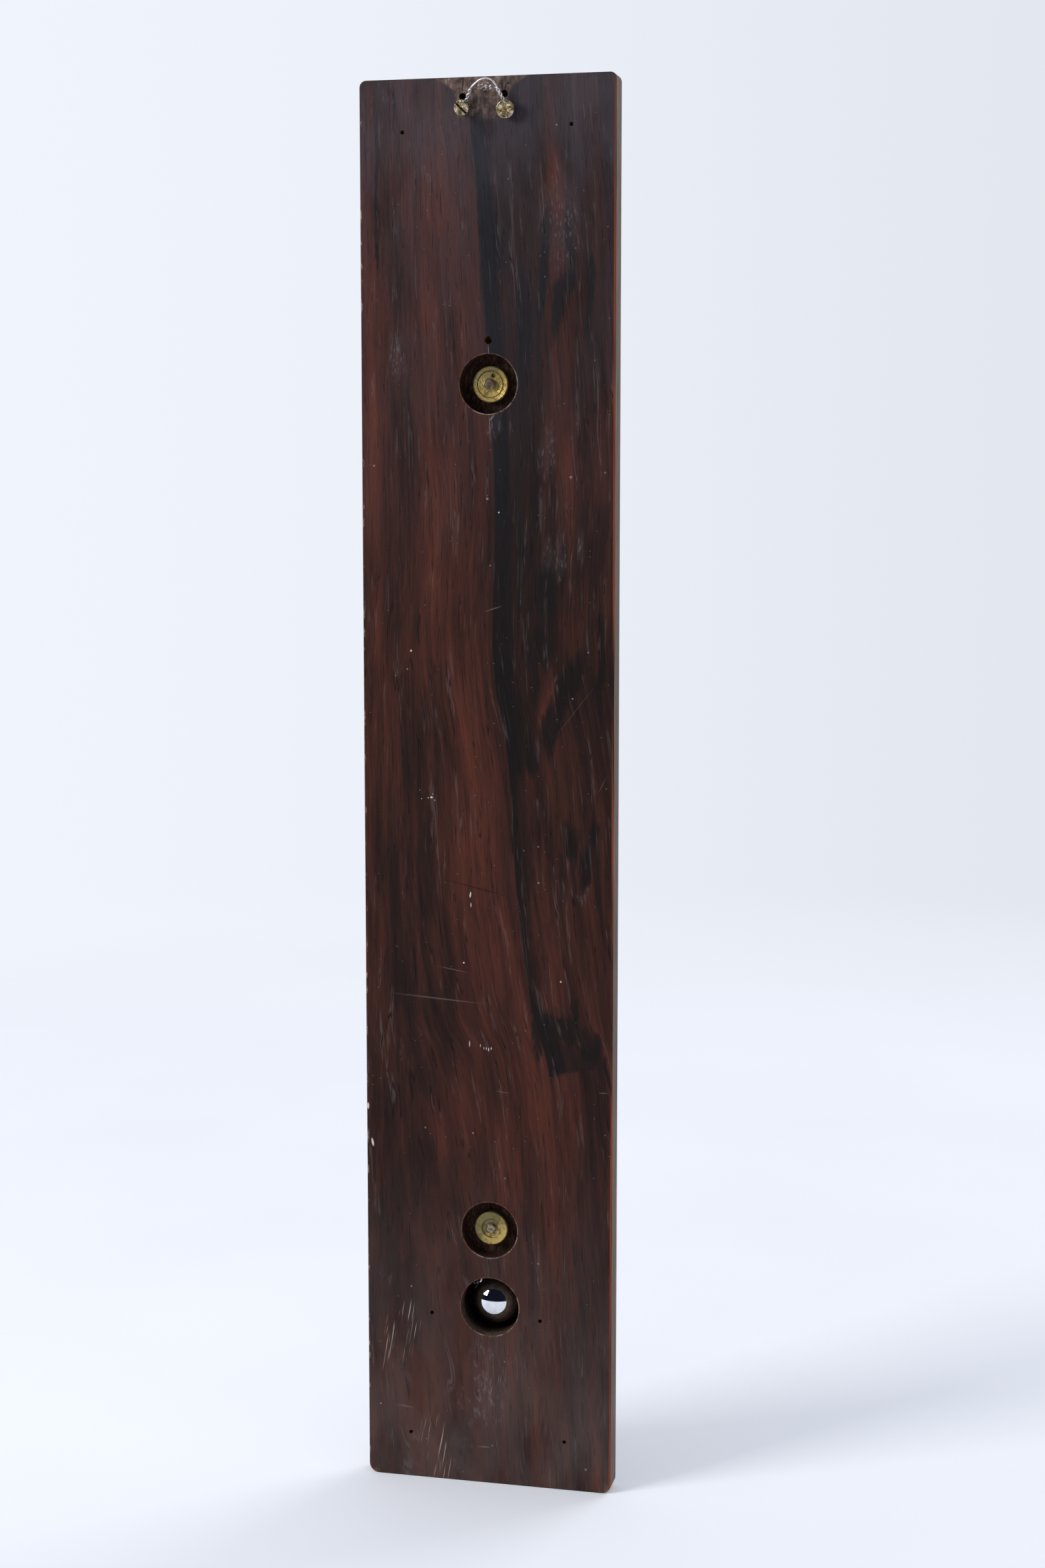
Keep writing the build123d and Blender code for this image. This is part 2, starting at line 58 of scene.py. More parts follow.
TUBE_Y = -23
TUBE_BORE = 7.5
TUBE_FLOOR = 93
SOLUTION_TOP = 352
CAKE_RADIUS = 7.1
FROND_TIP_RADIUS = 6.9
FROND_ROOT_RADIUS = 6.2
FROND_TOP = 145
FROND_COUNT = 64
STEM_WIDTH = 0.16
BARB_WIDTH = 0.1
BARB_SPACING = 0.8
BULB_Y = -11.2
BULB_CENTRE = (MIDDLE_X, BULB_Y, BULB_HOLE_HEIGHT)
BULB_INNER_RADIUS = 8.55
STEM_CORNERS = [BULB_CENTRE, (19, BULB_Y, 74)]
STEM_BEND = 8
STEM_BORE = 0.35
MERCURY_TOP = 198
SCREW_FACE = 4.1
SCREW_DROOP = 15
NUT_GROOVE_RADIUS = 4.35
WETTING = 0.03

STRIP_FRONT = -9.5
TICK_EDGE = 4.6
LONG_TICK = (3.6, 0.11)
MIDDLE_TICK = (2.6, 0.11)
SHORT_TICK = (1.7, 0.075)
ENGRAVED_DEPTH = 0.02
WAX_HEIGHT = 0.015
NUMBER_SIZE = 3.6
NUMBER_SHIFT = 1.9
THERMOMETER_SCALE_X = 27.5
STORM_SCALE_X = -26.8

# The hanging wire lies in the plane through its two eyes
WIRE_CENTRE = Vector((0.108396, 1.44492, 221.598))
WIRE_ACROSS = Vector((0.998157, -0.000565, 0.060681))
WIRE_UP = Vector((-0.05847, 0.25832, 0.96415))
WIRE_OUT = Vector((0, -0.96593, 0.25882))
WIRE_RADIUS = 0.275
STRAND_RADIUS = 0.24
STRAND_SWING = 0.36
EYE_RADIUS = 1.825
EYE_SPAN = 7
EYE_STEPS = 48
LEFT_TURNS, LEFT_PHASE = 1.9, 0.4
RIGHT_TURNS, RIGHT_PHASE = 1.4, 1.1
LEFT_FOOT = (-6.5, 1.75)
LEFT_KNUCKLE = (-3.7, 6.5)
ARCH = [(-3.3, 7.3), (-2.6, 8.1), (-1.7, 8.7), (-0.5, 9), (0.6, 8.85), (1.7, 8.45), (2.9, 7.6), (4.1, 6.5)]
RIGHT_KNUCKLE = (4.7, 5.7)
RIGHT_FOOT = (6.3, 1.7)


def level(height):
    """Z, in millimetres, of a height counted up from the board's bottom edge."""
    return height - BOARD_HEIGHT / 2


def metres(point):
    return Vector(point) * MM


def srgb(red, green, blue):
    """An sRGB colour from 0 to 255, as the linear colour that a shader takes."""
    linear = []
    for value in (red, green, blue):
        share = value / 255
        linear.append(share / 12.92 if share <= 0.04045 else ((share + 0.055) / 1.055) ** 2.4)
    return (*linear, 1)


# ---- a small kit for shader nodes
class Nodes:
    """A node tree, built a step at a time."""

    def __init__(self, tree):
        self.tree = tree
        self.tree.nodes.clear()

    def node(self, kind, **settings):
        made = self.tree.nodes.new(kind)
        for name, value in settings.items():
            setattr(made, name, value)
        return made

    def link(self, source, socket):
        self.tree.links.new(source, socket)

    def feed(self, socket, value):
        if isinstance(value, bpy.types.NodeSocket):
            self.link(value, socket)
        else:
            socket.default_value = value

    def vector(self, operation, *values):
        made = self.node("ShaderNodeVectorMath", operation=operation)
        for socket, value in zip(made.inputs, values):
            self.feed(socket, value)
        return made.outputs["Value"] if operation == "LENGTH" else made.outputs["Vector"]

    def split(self, vector):
        made = self.node("ShaderNodeSeparateXYZ")
        self.link(vector, made.inputs[0])
        return made.outputs[0], made.outputs[1], made.outputs[2]

    def join(self, x, y, z):
        made = self.node("ShaderNodeCombineXYZ")
        for socket, value in zip(made.inputs, (x, y, z)):
            self.feed(socket, value)
        return made.outputs[0]

    def maths(self, operation, *values):
        made = self.node("ShaderNodeMath", operation=operation)
        for socket, value in zip(made.inputs, values):
            self.feed(socket, value)
        return made.outputs[0]

    def plus(self, first, second):
        return self.maths("ADD", first, second)

    def minus(self, first, second):
        return self.maths("SUBTRACT", first, second)

    def times(self, *values):
        product = values[0]
        for value in values[1:]:
            product = self.maths("MULTIPLY", product, value)
        return product

    def most(self, first, second):
        return self.maths("MAXIMUM", first, second)

    def size(self, value):
        return self.maths("ABSOLUTE", value)

    def total(self, weighted):
        """The sum of (value, weight) pairs."""
        result = 0
        for value, weight in weighted:
            result = self.maths("MULTIPLY_ADD", value, weight, result)
        return result

    def smooth(self, value, start, end):
        """0 before start, 1 after end, and smooth between; start may be the larger."""
        made = self.node("ShaderNodeMapRange", interpolation_type="SMOOTHSTEP")
        self.feed(made.inputs["Value"], value)
        self.feed(made.inputs["From Min"], start)
        self.feed(made.inputs["From Max"], end)
        return made.outputs["Result"]

    def blend(self, factor, low, high):
        """A number between low and high."""
        made = self.node("ShaderNodeMix", data_type="FLOAT")
        for socket, value in zip((made.inputs[0], made.inputs[2], made.inputs[3]), (factor, low, high)):
            self.feed(socket, value)
        return made.outputs[0]

    def mix(self, factor, below, above, how="MIX"):
        """The colour above laid over the colour below."""
        made = self.node("ShaderNodeMix", data_type="RGBA", blend_type=how)
        for socket, value in zip((made.inputs[0], made.inputs[6], made.inputs[7]), (factor, below, above)):
            self.feed(socket, value)
        return made.outputs[2]

    def ramp(self, value, stops):
        """A colour read off a row of (position, red, green, blue) stops, with colours from 0 to 255."""
        made = self.node("ShaderNodeValToRGB")
        self.link(value, made.inputs[0])
        elements = made.color_ramp.elements
        while len(elements) < len(stops):
            elements.new(0.5)
        for element, (position, *colour) in zip(elements, stops):
            element.position = position
            element.color = srgb(*colour)
        return made.outputs[0]

    def curve(self, value, points, span, reach):
        """A number read off a smooth curve through (value, number) points."""
        first, last = span
        low, high = reach
        made = self.node("ShaderNodeFloatCurve")
        scaled = self.maths("DIVIDE", self.minus(value, first), last - first)
        self.link(scaled, made.inputs["Value"])
        line = made.mapping.curves[0]
        ordered = sorted(points)
        while len(line.points) < len(ordered):
            line.points.new(0.5, 0.5)
        for point, (at, number) in zip(line.points, ordered):
            point.location = ((at - first) / (last - first), (number - low) / (high - low))
        made.mapping.update()
        return self.maths("MULTIPLY_ADD", made.outputs[0], high - low, low)


class Shade(Nodes):
    """One node material. Lengths in it are millimetres, and its colour is painted on in coats."""

    def __init__(self, name):
        self.material = bpy.data.materials.new(name)
        self.material.use_nodes = True
        super().__init__(self.material.node_tree)
        self.output = self.node("ShaderNodeOutputMaterial")
        self.shader = self.node("ShaderNodeBsdfPrincipled")
        self.link(self.shader.outputs[0], self.output.inputs["Surface"])
        coordinates = self.node("ShaderNodeTexCoord")
        self.normal = coordinates.outputs["Normal"]
        self.place = self.vector("MULTIPLY", coordinates.outputs["Object"], (1000, 1000, 1000))
        self.x, self.y, self.z = self.split(self.place)
        self.colour = None

    def finish(self, **values):
        """Set the main shader's sockets, with underscores for spaces, and hand back the material."""
        self.feed(self.shader.inputs["Base Color"], self.colour)
        for name, value in values.items():
            self.feed(self.shader.inputs[name.replace("_", " ")], value)
        return self.material

    def paint(self, colour, *strengths):
        """Lay a colour, from 0 to 255 or a socket, over the coats so far, by the strengths' product."""
        coat = srgb(*colour) if isinstance(colour, tuple) else colour
        self.colour = self.mix(self.times(*strengths), self.colour, coat)

    def noise(self, scale, detail=2, roughness=0.5, place=None, seed=0, colour=False):
        """Noise whose features are about as large as scale: one length, or one for each axis."""
        factors = tuple(1 / value for value in (scale if isinstance(scale, tuple) else (scale,) * 3))
        shift = (seed, seed * 0.37, seed * 0.71)
        scaled = self.vector("MULTIPLY_ADD", place or self.place, factors, shift)
        made = self.node("ShaderNodeTexNoise")
        self.link(scaled, made.inputs["Vector"])
        made.inputs["Scale"].default_value = 1
        made.inputs["Detail"].default_value = detail
        made.inputs["Roughness"].default_value = roughness
        return made.outputs[1] if colour else made.outputs[0]

    def spots(self, low, high, scale, *detail, **options):
        """0 where the noise is under low, 1 where it is over high; low may be the larger."""
        return self.smooth(self.noise(scale, *detail, **options), low, high)

    def dots(self, scale, radius, seed):
        """Small round specks, each somewhere in its own cell of that scale."""
        factors = tuple(1 / value for value in scale)
        scaled = self.vector("MULTIPLY_ADD", self.place, factors, (seed, seed, seed))
        made = self.node("ShaderNodeTexVoronoi")
        self.link(scaled, made.inputs["Vector"])
        made.inputs["Scale"].default_value = 1
        chance = self.split(made.outputs["Color"])[0]
        reach = self.times(chance, chance, radius)
        return self.smooth(self.minus(made.outputs["Distance"], reach), 0.02, -0.02)

    def patch(self, place, centre, half_size, lean=0, edge=0.5):
        """1 inside an ellipse and 0 outside it, with a soft edge."""
        made = self.node("ShaderNodeMapping", vector_type="TEXTURE")
        self.link(place, made.inputs["Vector"])
        made.inputs["Location"].default_value = (*centre, 0)
        made.inputs["Rotation"].default_value = (0, 0, math.radians(lean))
        made.inputs["Scale"].default_value = (*half_size, 1)
        return self.smooth(self.vector("LENGTH", made.outputs[0]), 1 + edge, 1 - edge)

    def after(self, place, value):
        """The same place, known only after value is, so that few values are kept at a time."""
        return self.vector("MULTIPLY_ADD", value, (1e-9, 1e-9, 1e-9), place)

    def bump(self, height, distance):
        """Raise the surface by height times distance, which is in millimetres."""
        made = self.node("ShaderNodeBump")
        made.inputs["Strength"].default_value = 1
        made.inputs["Distance"].default_value = distance * MM
        self.link(height, made.inputs["Height"])
        return made.outputs[0]


def dress(material, *names):
    """Give CAD nodes a material."""
    for name in names:
        for slot in nodes[name].material_slots:
            slot.material = material


# ---- the rosewood board
# The vein's left edge as (height, right of the middle), and its width as (height, width), seen from the back
VEIN_EDGE = [
    (0, 30), (60, 27), (120, 23), (145, 20), (160, 15.4), (173, 13.3), (186, 11.4), (212, 8.7), (238, 7.4),
    (258, 4.7), (271, 2.6), (284, 1.6), (302, 1.6), (327, 2.3), (349, 1.6), (379, 0), (401, -1.8),
    (426, -3.6), (450, -5.6), (463, -6.2),
]
VEIN_WIDTH = [
    (0, 0), (139, 0), (144, 14), (150, 19), (158, 16), (163, 5), (168, 2.6), (200, 2.8), (235, 3.2), (245, 6),
    (256, 9), (268, 15), (282, 18), (300, 17), (315, 13), (330, 10), (345, 13), (357, 17), (380, 19),
    (400, 20), (425, 22), (463, 24),
]
# Patches are (right of the middle, up from the bottom edge, half width, half height),
# and some have a lean in degrees
DIM_BANDS = [
    (-29.5, 425, 1.5, 44, 0.5), (-27.5, 350, 2.4, 26), (-38, 265, 4, 60), (-31, 292, 2, 40, -0.5),
    (-21, 238, 3.6, 44), (-24, 150, 6, 36), (-14, 160, 3.4, 26), (-26, 88, 7, 44), (33, 60, 4, 60),
    (38.8, 425, 2.6, 38), (39.6, 380, 2, 30), (39.6, 258, 1.8, 26), (13, 330, 6, 40), (34, 262, 5, 60),
    (19, 232, 4, 24), (35, 140, 4, 16, 10), (39.5, 205, 3.5, 40), (24, 300, 5, 50),
]
BLACK_PATCHES = [
    (-36.2, 428, 0.8, 36), (-40, 446, 0.5, 14), (-31, 452, 0.35, 12), (19.5, 300, 4.6, 14),
    (17.5, 283, 6, 9), (27.5, 272, 4.2, 12, -24), (22.5, 259, 3.6, 12, -14), (6.8, 276, 4, 6.5),
    (9, 262, 4, 11, 8), (14, 249, 3.2, 9, 4), (37.5, 276, 1.4, 22), (28, 218, 2.6, 9), (33, 213, 2.2, 9),
    (35.5, 222, 2.6, 5), (16.5, 160, 2.4, 11, 6), (22.5, 158, 3.6, 6, -25), (26.5, 156.5, 4.4, 6.5),
    (29.5, 163, 1.4, 6), (33.5, 149.5, 3.4, 2.8, 25), (36.8, 150.5, 1.4, 4.2, 8), (16.8, 150, 1.2, 5),
    (39.8, 143, 1.1, 6, 14), (12.5, 381, 3, 18), (18.5, 402, 2.2, 26, -4), (27, 406, 1.6, 16),
    (33.5, 392, 1.6, 20), (24, 392, 2.2, 12, -10),
]
RED_PATCHES = [
    (-24, 400, 6.5, 44), (-12, 380, 8, 60), (-15, 320, 11, 44), (-7, 262, 6, 40), (-3.5, 215, 6.5, 36),
    (1.5, 176, 5.5, 24), (21.5, 428, 5.5, 8), (31, 294, 5.5, 16, -3), (27, 330, 3, 20), (20, 268, 3, 14),
    (36, 330, 2.5, 26), (16.5, 198, 3.4, 16), (24, 176, 6, 16), (8, 130, 7, 34), (-38.5, 380, 3, 60),
    (23, 108, 6.5, 44), (12, 40, 10, 20), (-6, 130, 4, 26),
]
WHITE_MARKS = [
    (-5.9, 201, 0.24, 0.9, -8), (-5.7, 197.6, 0.14, 0.7), (-25.7, 281, 0.26, 0.34), (3.9, 326, 0.25, 0.25),
    (-19, 232.9, 0.42, 0.3), (-20.1, 232.7, 0.2, 0.16), (-17.9, 232, 0.18, 0.12), (-18.6, 234, 0.14, 0.14),
    (-22.4, 232.4, 0.13, 0.16), (-23, 235.2, 0.1, 0.12), (-2.6, 150.6, 0.1, 0.5), (-1.4, 149.8, 0.1, 0.4),
    (-0.6, 149.7, 0.13, 0.45), (0.2, 149.4, 0.14, 0.6), (1.1, 149.8, 0.15, 0.45), (-6.3, 151, 0.14, 0.9),
    (24.6, 173.3, 0.3, 0.25), (-8.2, 178.2, 0.25, 0.3), (-41.5, 128, 0.35, 1), (-40, 115.6, 0.35, 1.3, 12),
]
FINE_STROKES = [
    (-17, 165.8, 12, 0.22, -4), (-12, 175.8, 4.2, 0.16, -10), (2, 295, 2.4, 0.2, 18),
    (29, 262, 8, 0.06, 52), (38.2, 238.5, 2.6, 0.08, 62), (5, 135.3, 2, 0.16, -4), (39, 136.8, 1.3, 0.2),
    (-29.2, 24.5, 2.4, 0.25, -6), (-1.6, 12.6, 1.8, 0.3),
]
HOLES = [
    (UPPER_RECESS_HEIGHT, RECESS_RADIUS, UPPER_RECESS_DEPTH),
    (LOWER_RECESS_HEIGHT, RECESS_RADIUS, LOWER_RECESS_DEPTH),
    (BULB_HOLE_HEIGHT, BULB_HOLE_RADIUS, BOARD_THICKNESS),
]


def add_patches(wood, place, patches, edge):
    """The strongest of several soft ellipses at each point."""
    found = 0
    for right, up, half_width, half_height, *lean in patches:
        spot = wood.patch(place, (right, up), (half_width, half_height), *lean, edge=edge)
        found = wood.most(spot, found)
        place = wood.after(place, found)
    return found


def wood_grain(wood, right, height):
    """Streaks of several widths that drift with the vein, keyed by width."""
    vein_edge = wood.curve(height, VEIN_EDGE, (0, BOARD_HEIGHT), (-10, 40))
    follow = wood.smooth(right, -46, 6)
    sway = wood.minus(wood.noise((34, 34, 160), 1, seed=3.1), 0.5)
    waver = wood.minus(wood.noise((9, 9, 26), 1, seed=7.7), 0.5)
    along = wood.minus(wood.total([(sway, 4.5), (waver, 1.2), (right, 1)]), wood.times(vein_edge, follow))
    run = wood.join(along, wood.times(wood.y, 0.5), height)
    streaks = {
        "broad": wood.noise((9, 9, 90), place=run, seed=1.3),
        "middle": wood.noise((3, 3, 38), 3, place=run, seed=5.9),
        "fine": wood.noise((0.95, 0.95, 22), 3, 0.6, place=run, seed=9.2),
        "hair": wood.noise((0.38, 0.38, 7), 2, 0.6, place=run, seed=12.4),
    }
    past_edge = wood.minus(wood.plus(right, waver), vein_edge)
    return streaks, past_edge, run


def wood_vein(wood, streaks, past_edge, height, warped):
    """How black the wood is, from its vein, its flame and its dark patches."""
    width = wood.curve(height, VEIN_WIDTH, (0, BOARD_HEIGHT), (0, 30))
    begins = wood.smooth(past_edge, -0.35, 0.65)
    ends = wood.smooth(wood.minus(past_edge, width), 3, -2.5)
    core = wood.smooth(past_edge, 7.5, 1.5)
    ragged = wood.total([(streaks["middle"], 0.42), (streaks["fine"], 0.3), (streaks["broad"], 0.28)])
    body = wood.smooth(wood.total([(ragged, 1), (core, 0.22)]), 0.4, 0.6)
    vein = wood.times(begins, ends, body)
    spots = add_patches(wood, warped, BLACK_PATCHES, 0.6)
    broken = wood.smooth(wood.total([(spots, 0.5), (ragged, 0.9)]), 0.62, 0.98)
    return wood.most(vein, wood.times(broken, wood.smooth(spots, 0, 0.3), 0.9))


def wood_holes(wood, right, height):
    """(inside a hole's wall or floor, on its rim, how far round toward the lower right), from 0 to 1."""
    inside, rim, lower_right = 0, 0, 0
    for hole_height, radius, depth in HOLES:
        centred = wood.join(wood.plus(right, MIDDLE_X), wood.minus(height, hole_height), 0)
        distance = wood.vector("LENGTH", centred)
        within = wood.smooth(wood.minus(distance, radius), 0.06, -0.06)
        below = wood.smooth(wood.y, -0.12, -0.4)
        if depth < BOARD_THICKNESS:
            below = wood.times(below, wood.smooth(wood.y, -depth - 0.5, -depth - 0.2))
        inside = wood.most(wood.times(within, below), inside)
        ring = wood.smooth(wood.size(wood.minus(distance, radius)), 0.5, 0.12)
        rim = wood.most(wood.times(ring, wood.smooth(wood.y, -0.7, -0.1)), rim)
        parts = wood.split(centred)
        toward = wood.times(wood.minus(parts[0], parts[1]), 0.7 / radius)
        lower_right = wood.most(wood.times(ring, wood.smooth(toward, -0.2, 0.6)), lower_right)
    return inside, rim, lower_right


def ghost_plate(wood, right, height):
    """The dusty print that an older hanger plate left, from 0 to 1."""
    outline = [(0, 8), (449, 8), (455, 8.3), (458.6, 9.2), (461, 12.2), (463, 15)]
    half_width = wood.curve(height, outline, (0, BOARD_HEIGHT), (0, 20))
    off_middle = wood.size(wood.plus(right, 1.6))
    across = wood.smooth(wood.minus(off_middle, half_width), 0.7, -0.6)
    up = wood.smooth(height, 448.5, 453)
    worn = wood.spots(0.34, 0.6, (2.2, 2.2, 1.6), 3, 0.65, seed=31)
    top = wood.smooth(height, 455.5, 459.5)
    return wood.times(across, up, wood.blend(top, wood.blend(worn, 0.34, 0.85), wood.blend(worn, 0.72, 1)))


def rosewood_board():
    wood = Shade("rosewood_board")
    right = wood.times(wood.x, -1)
    height = wood.plus(wood.z, BOARD_HEIGHT / 2)
    flat = wood.join(right, height, 0)
    wander = wood.noise((4.5, 4.5, 16), 3, 0.6, seed=17, colour=True)
    drift = wood.vector("MULTIPLY", wood.vector("SUBTRACT", wander, (0.5, 0.5, 0.5)), (6.5, 17, 0))
    warped = wood.vector("ADD", flat, drift)
    streaks, past_edge, run = wood_grain(wood, right, height)
    dark = wood_vein(wood, streaks, past_edge, height, warped)
    red = add_patches(wood, warped, RED_PATCHES, 0.75)

    # Heartwood, redder and lighter in some bands, and browner lower down
    dim = add_patches(wood, warped, DIM_BANDS, 0.8)
    tone = wood.total([
        (streaks["broad"], 0.36), (streaks["middle"], 0.29), (streaks["fine"], 0.21), (streaks["hair"], 0.14),
        (red, 0.07), (dim, -0.04), (wood.smooth(past_edge, -3, 12), -0.035),
    ])
    wood.colour = wood.ramp(tone, [
        (0.34, 26, 17, 15), (0.44, 42, 24, 20), (0.54, 62, 32, 25), (0.67, 84, 43, 31),
    ])
    # The vein's black, with a painted sheen that turns it bluish grey toward the top
    vein_black_and_sheen = wood.mix(wood.smooth(height, 250, 420), srgb(20, 18, 18), srgb(24, 27, 31))
    wood.paint(vein_black_and_sheen, dark, 0.94)

    # Open pores: thin black lines along the grain, some of them with a painted highlight along their edges
    contour = wood.size(wood.minus(wood.noise((1.5, 1.5, 46), place=run, seed=41), 0.5))
    pore_line = wood.smooth(contour, 0.016, 0.004)
    pore_gate = wood.spots(0.47, 0.58, (1.6, 1.6, 13), place=run, seed=43)
    short_pores = wood.spots(0.31, 0.25, (0.2, 0.2, 6), 1, place=run, seed=45)
    pores = wood.most(wood.times(pore_line, pore_gate), wood.times(short_pores, 0.4))
    wood.paint((16, 12, 12), pores, 0.72)
    lit_gate = wood.spots(0.55, 0.66, (2, 2, 17), place=run, seed=47)
    pore_edge_highlights = wood.times(wood.smooth(contour, 0.05, 0.026), wood.minus(1, pore_line), lit_gate, 0.17)
    wood.paint((128, 114, 112), pore_edge_highlights)
    unmarked = wood.colour

    # Painted sheen: grey, heavier toward the top, and paler grey toward the bottom; then scuffed patches
    cloudy = wood.noise((13, 13, 34), 3, 0.6, seed=59)
    patchy = wood.smooth(cloudy, 0.15, 0.7)
    wood.paint((76, 68, 76), wood.smooth(height, 270, 460), patchy, wood.blend(dark, 0.3, 0.1))
    wood.paint((82, 82, 90), wood.smooth(height, 418, 450), wood.smooth(cloudy, 0.1, 0.6), 0.24)
    wood.paint((112, 100, 96), wood.smooth(height, 130, 0), patchy, 0.26)
    scuff_grain = wood.spots(0.54, 0.72, (0.45, 0.45, 2.2), place=run, seed=61)
    scuffed = add_patches(wood, warped, [
        (24, 417, 5, 12), (20.5, 313, 2, 5), (24, 312, 1.6, 7), (30.3, 314, 0.9, 4),
        (-34.5, 457.5, 1.3, 2.6, 20), (-30, 376, 3, 6), (-20.5, 434, 1.5, 2), (2.2, 354, 2.2, 4),
        (20, 345, 2.5, 8), (-1, 45, 5, 4), (-10, 12.5, 4.4, 2.2, -8), (32.5, 203, 1.6, 2),
        (-1.5, 30, 7, 9),
    ], 0.6)
    wood.paint((130, 128, 132), scuffed, wood.blend(scuff_grain, 0.03, 0.26))

    # Loose white dust, small chips, and fine strokes
    dust = wood.most(wood.dots((5.5, 40, 5.5), 0.075, seed=2), wood.dots((2.1, 40, 2.1), 0.07, seed=8))
    wood.paint((150, 148, 148), dust, 0.45)
    chips = add_patches(wood, flat, WHITE_MARKS, 0.35)
    wood.paint((206, 198, 190), chips, 0.9)
    strokes = add_patches(wood, flat, FINE_STROKES, 0.6)
    wood.paint((150, 132, 122), strokes, 0.2)
    dark_stroke = wood.patch(flat, (-4, 203.4), (9.5, 0.28), -13)
    wood.paint((34, 20, 18), dark_stroke, 0.6)

    # Two bands of scratches near the bottom corner, which all slant the same way
    slanted = wood.join(wood.minus(right, wood.times(height, 0.17)), height, 0)
    scratch_lines = wood.spots(0.63, 0.70, (0.42, 15, 1), 1, place=slanted, seed=67)
    scratch_zone = add_patches(wood, flat, [
        (-29, 51, 4.6, 9, -10), (-35.5, 47, 1.6, 8, -8), (-18, 10.5, 5, 10, 8), (4.5, 33, 3.5, 4.5),
    ], 0.45)
    scratches = wood.times(scratch_lines, scratch_zone)
    wood.paint((176, 168, 158), scratches, 0.85)

    # The print of the older plate
    ghost = ghost_plate(wood, right, height)
    ghost_colour = wood.ramp(wood.noise((1.6, 1.6, 2.4), 4, 0.65, seed=71), [
        (0.3, 48, 37, 34), (0.52, 98, 80, 72), (0.72, 144, 126, 114),
    ])
    wood.paint(ghost_colour, ghost)
    fleck_spot = wood.spots(0.5, 0.62, (0.8, 0.8, 0.6), seed=73)
    plaster = wood.times(wood.patch(flat, (-0.3, 459.9), (2.6, 1)), fleck_spot, 0.85)
    wood.paint((220, 218, 220), plaster)
    cracks = add_patches(wood, warped, [
        (-8.4, 460, 0.35, 3.2, 8), (5.9, 460, 0.3, 3.4), (7.2, 459.3, 0.25, 2.4, -20),
    ], 0.5)
    wood.paint((30, 22, 21), cracks, 0.8)
    pale_crack = add_patches(wood, flat, [
        (0.5, 377.6, 0.14, 1.7, 4), (1.5, 356, 0.3, 1, -40), (0.9, 353.4, 0.14, 2.6, 4),
    ], 0.5)
    wood.paint((128, 120, 116), pale_crack, 0.5)

    # Edges: pale worn nicks on one side, and a thin orange-red line painted down the other
    nick = wood.noise((1.3, 1.3, 5.5), 3, 0.7, seed=79)
    left_edge = wood.smooth(right, -41, -41.75)
    worn_left = wood.times(left_edge, wood.smooth(nick, 0.55, 0.66))
    wood.paint((168, 150, 140), worn_left, 0.6)
    back_side = wood.smooth(wood.y, -1.2, -0.4)
    right_edge = wood.times(wood.smooth(right, 41.15, 41.7), back_side)
    orange_arris_line = wood.times(right_edge, wood.spots(0.36, 0.6, (1.5, 1.5, 60), seed=83))
    wood.paint((150, 66, 34), orange_arris_line, 0.85)
    corner_wear = wood.times(
        wood.smooth(height, 5, 0.5), wood.smooth(wood.size(right), 37, 41.5), wood.smooth(nick, 0.35, 0.6)
    )
    wood.paint((140, 100, 78), corner_wear, 0.55)

    # The sides and ends are dull and dusty; the holes are raw inside, and deep in the bulb hole there is
    # painted shade
    normal = wood.split(wood.normal)
    side = wood.times(wood.smooth(wood.size(normal[0]), 0.72, 0.95), wood.smooth(wood.size(right), 41, 41.9))
    side_dust = wood.ramp(wood.noise((0.5, 0.5, 24), 3, 0.6, seed=89), [
        (0.32, 84, 72, 64), (0.5, 112, 99, 90), (0.7, 134, 122, 113),
    ])
    wood.paint(side_dust, side, 0.93)
    end = wood.smooth(wood.size(normal[2]), 0.75, 0.95)
    end_far = wood.smooth(wood.size(wood.z), 230.4, 231.3)
    end_grain = wood.ramp(wood.noise(0.5, 3, 0.7, seed=97), [
        (0.35, 26, 19, 18), (0.6, 62, 44, 37), (0.8, 98, 74, 60),
    ])
    wood.paint(end_grain, end, end_far, 0.85)
    inside, rim, lower_right = wood_holes(wood, right, height)
    fibres = wood.ramp(wood.noise((0.7, 0.7, 1.6), 4, 0.7, seed=101), [
        (0.34, 20, 14, 12), (0.55, 52, 34, 26), (0.75, 98, 66, 48),
    ])
    bulb_wall_and_shade = wood.ramp(wood.noise((3, 1, 3), seed=103), [
        (0.35, 62, 52, 42), (0.7, 104, 88, 72),
    ])
    # Painted shade: the bulb hole's wall darkens to near black deeper in
    bulb_wall_and_shade = wood.mix(wood.smooth(wood.y, -2, -6.5), bulb_wall_and_shade, srgb(12, 9, 8))
    raw_wood_and_shade = wood.mix(wood.smooth(height, 74, 72), fibres, bulb_wall_and_shade)
    wood.paint(raw_wood_and_shade, inside)
    pin_hole = wood.patch(flat, (-MIDDLE_X, STEADY_PIN_HEIGHT), (1.6, 1.6), edge=0.05)
    wood.paint((112, 76, 46), pin_hole, wood.smooth(wood.y, -0.1, -0.3))
    # The holes' rims: real wear, with a painted highlight that makes them paler toward the lower right
    rim_wear_and_highlight = wood.mix(lower_right, srgb(112, 72, 54), srgb(158, 140, 128))
    rim_worn = wood.spots(0.36, 0.66, 1.4, 3, 0.7, seed=107)
    wood.paint(rim_wear_and_highlight, rim, rim_worn, 0.7)

    # The front is French polished, so it is deeper in colour and much smoother
    front = wood.times(wood.smooth(normal[1], -0.6, -0.9), wood.smooth(wood.y, -8.3, -8.45))
    wood.paint(wood.mix(1, unmarked, srgb(244, 208, 190), "MULTIPLY"), front)

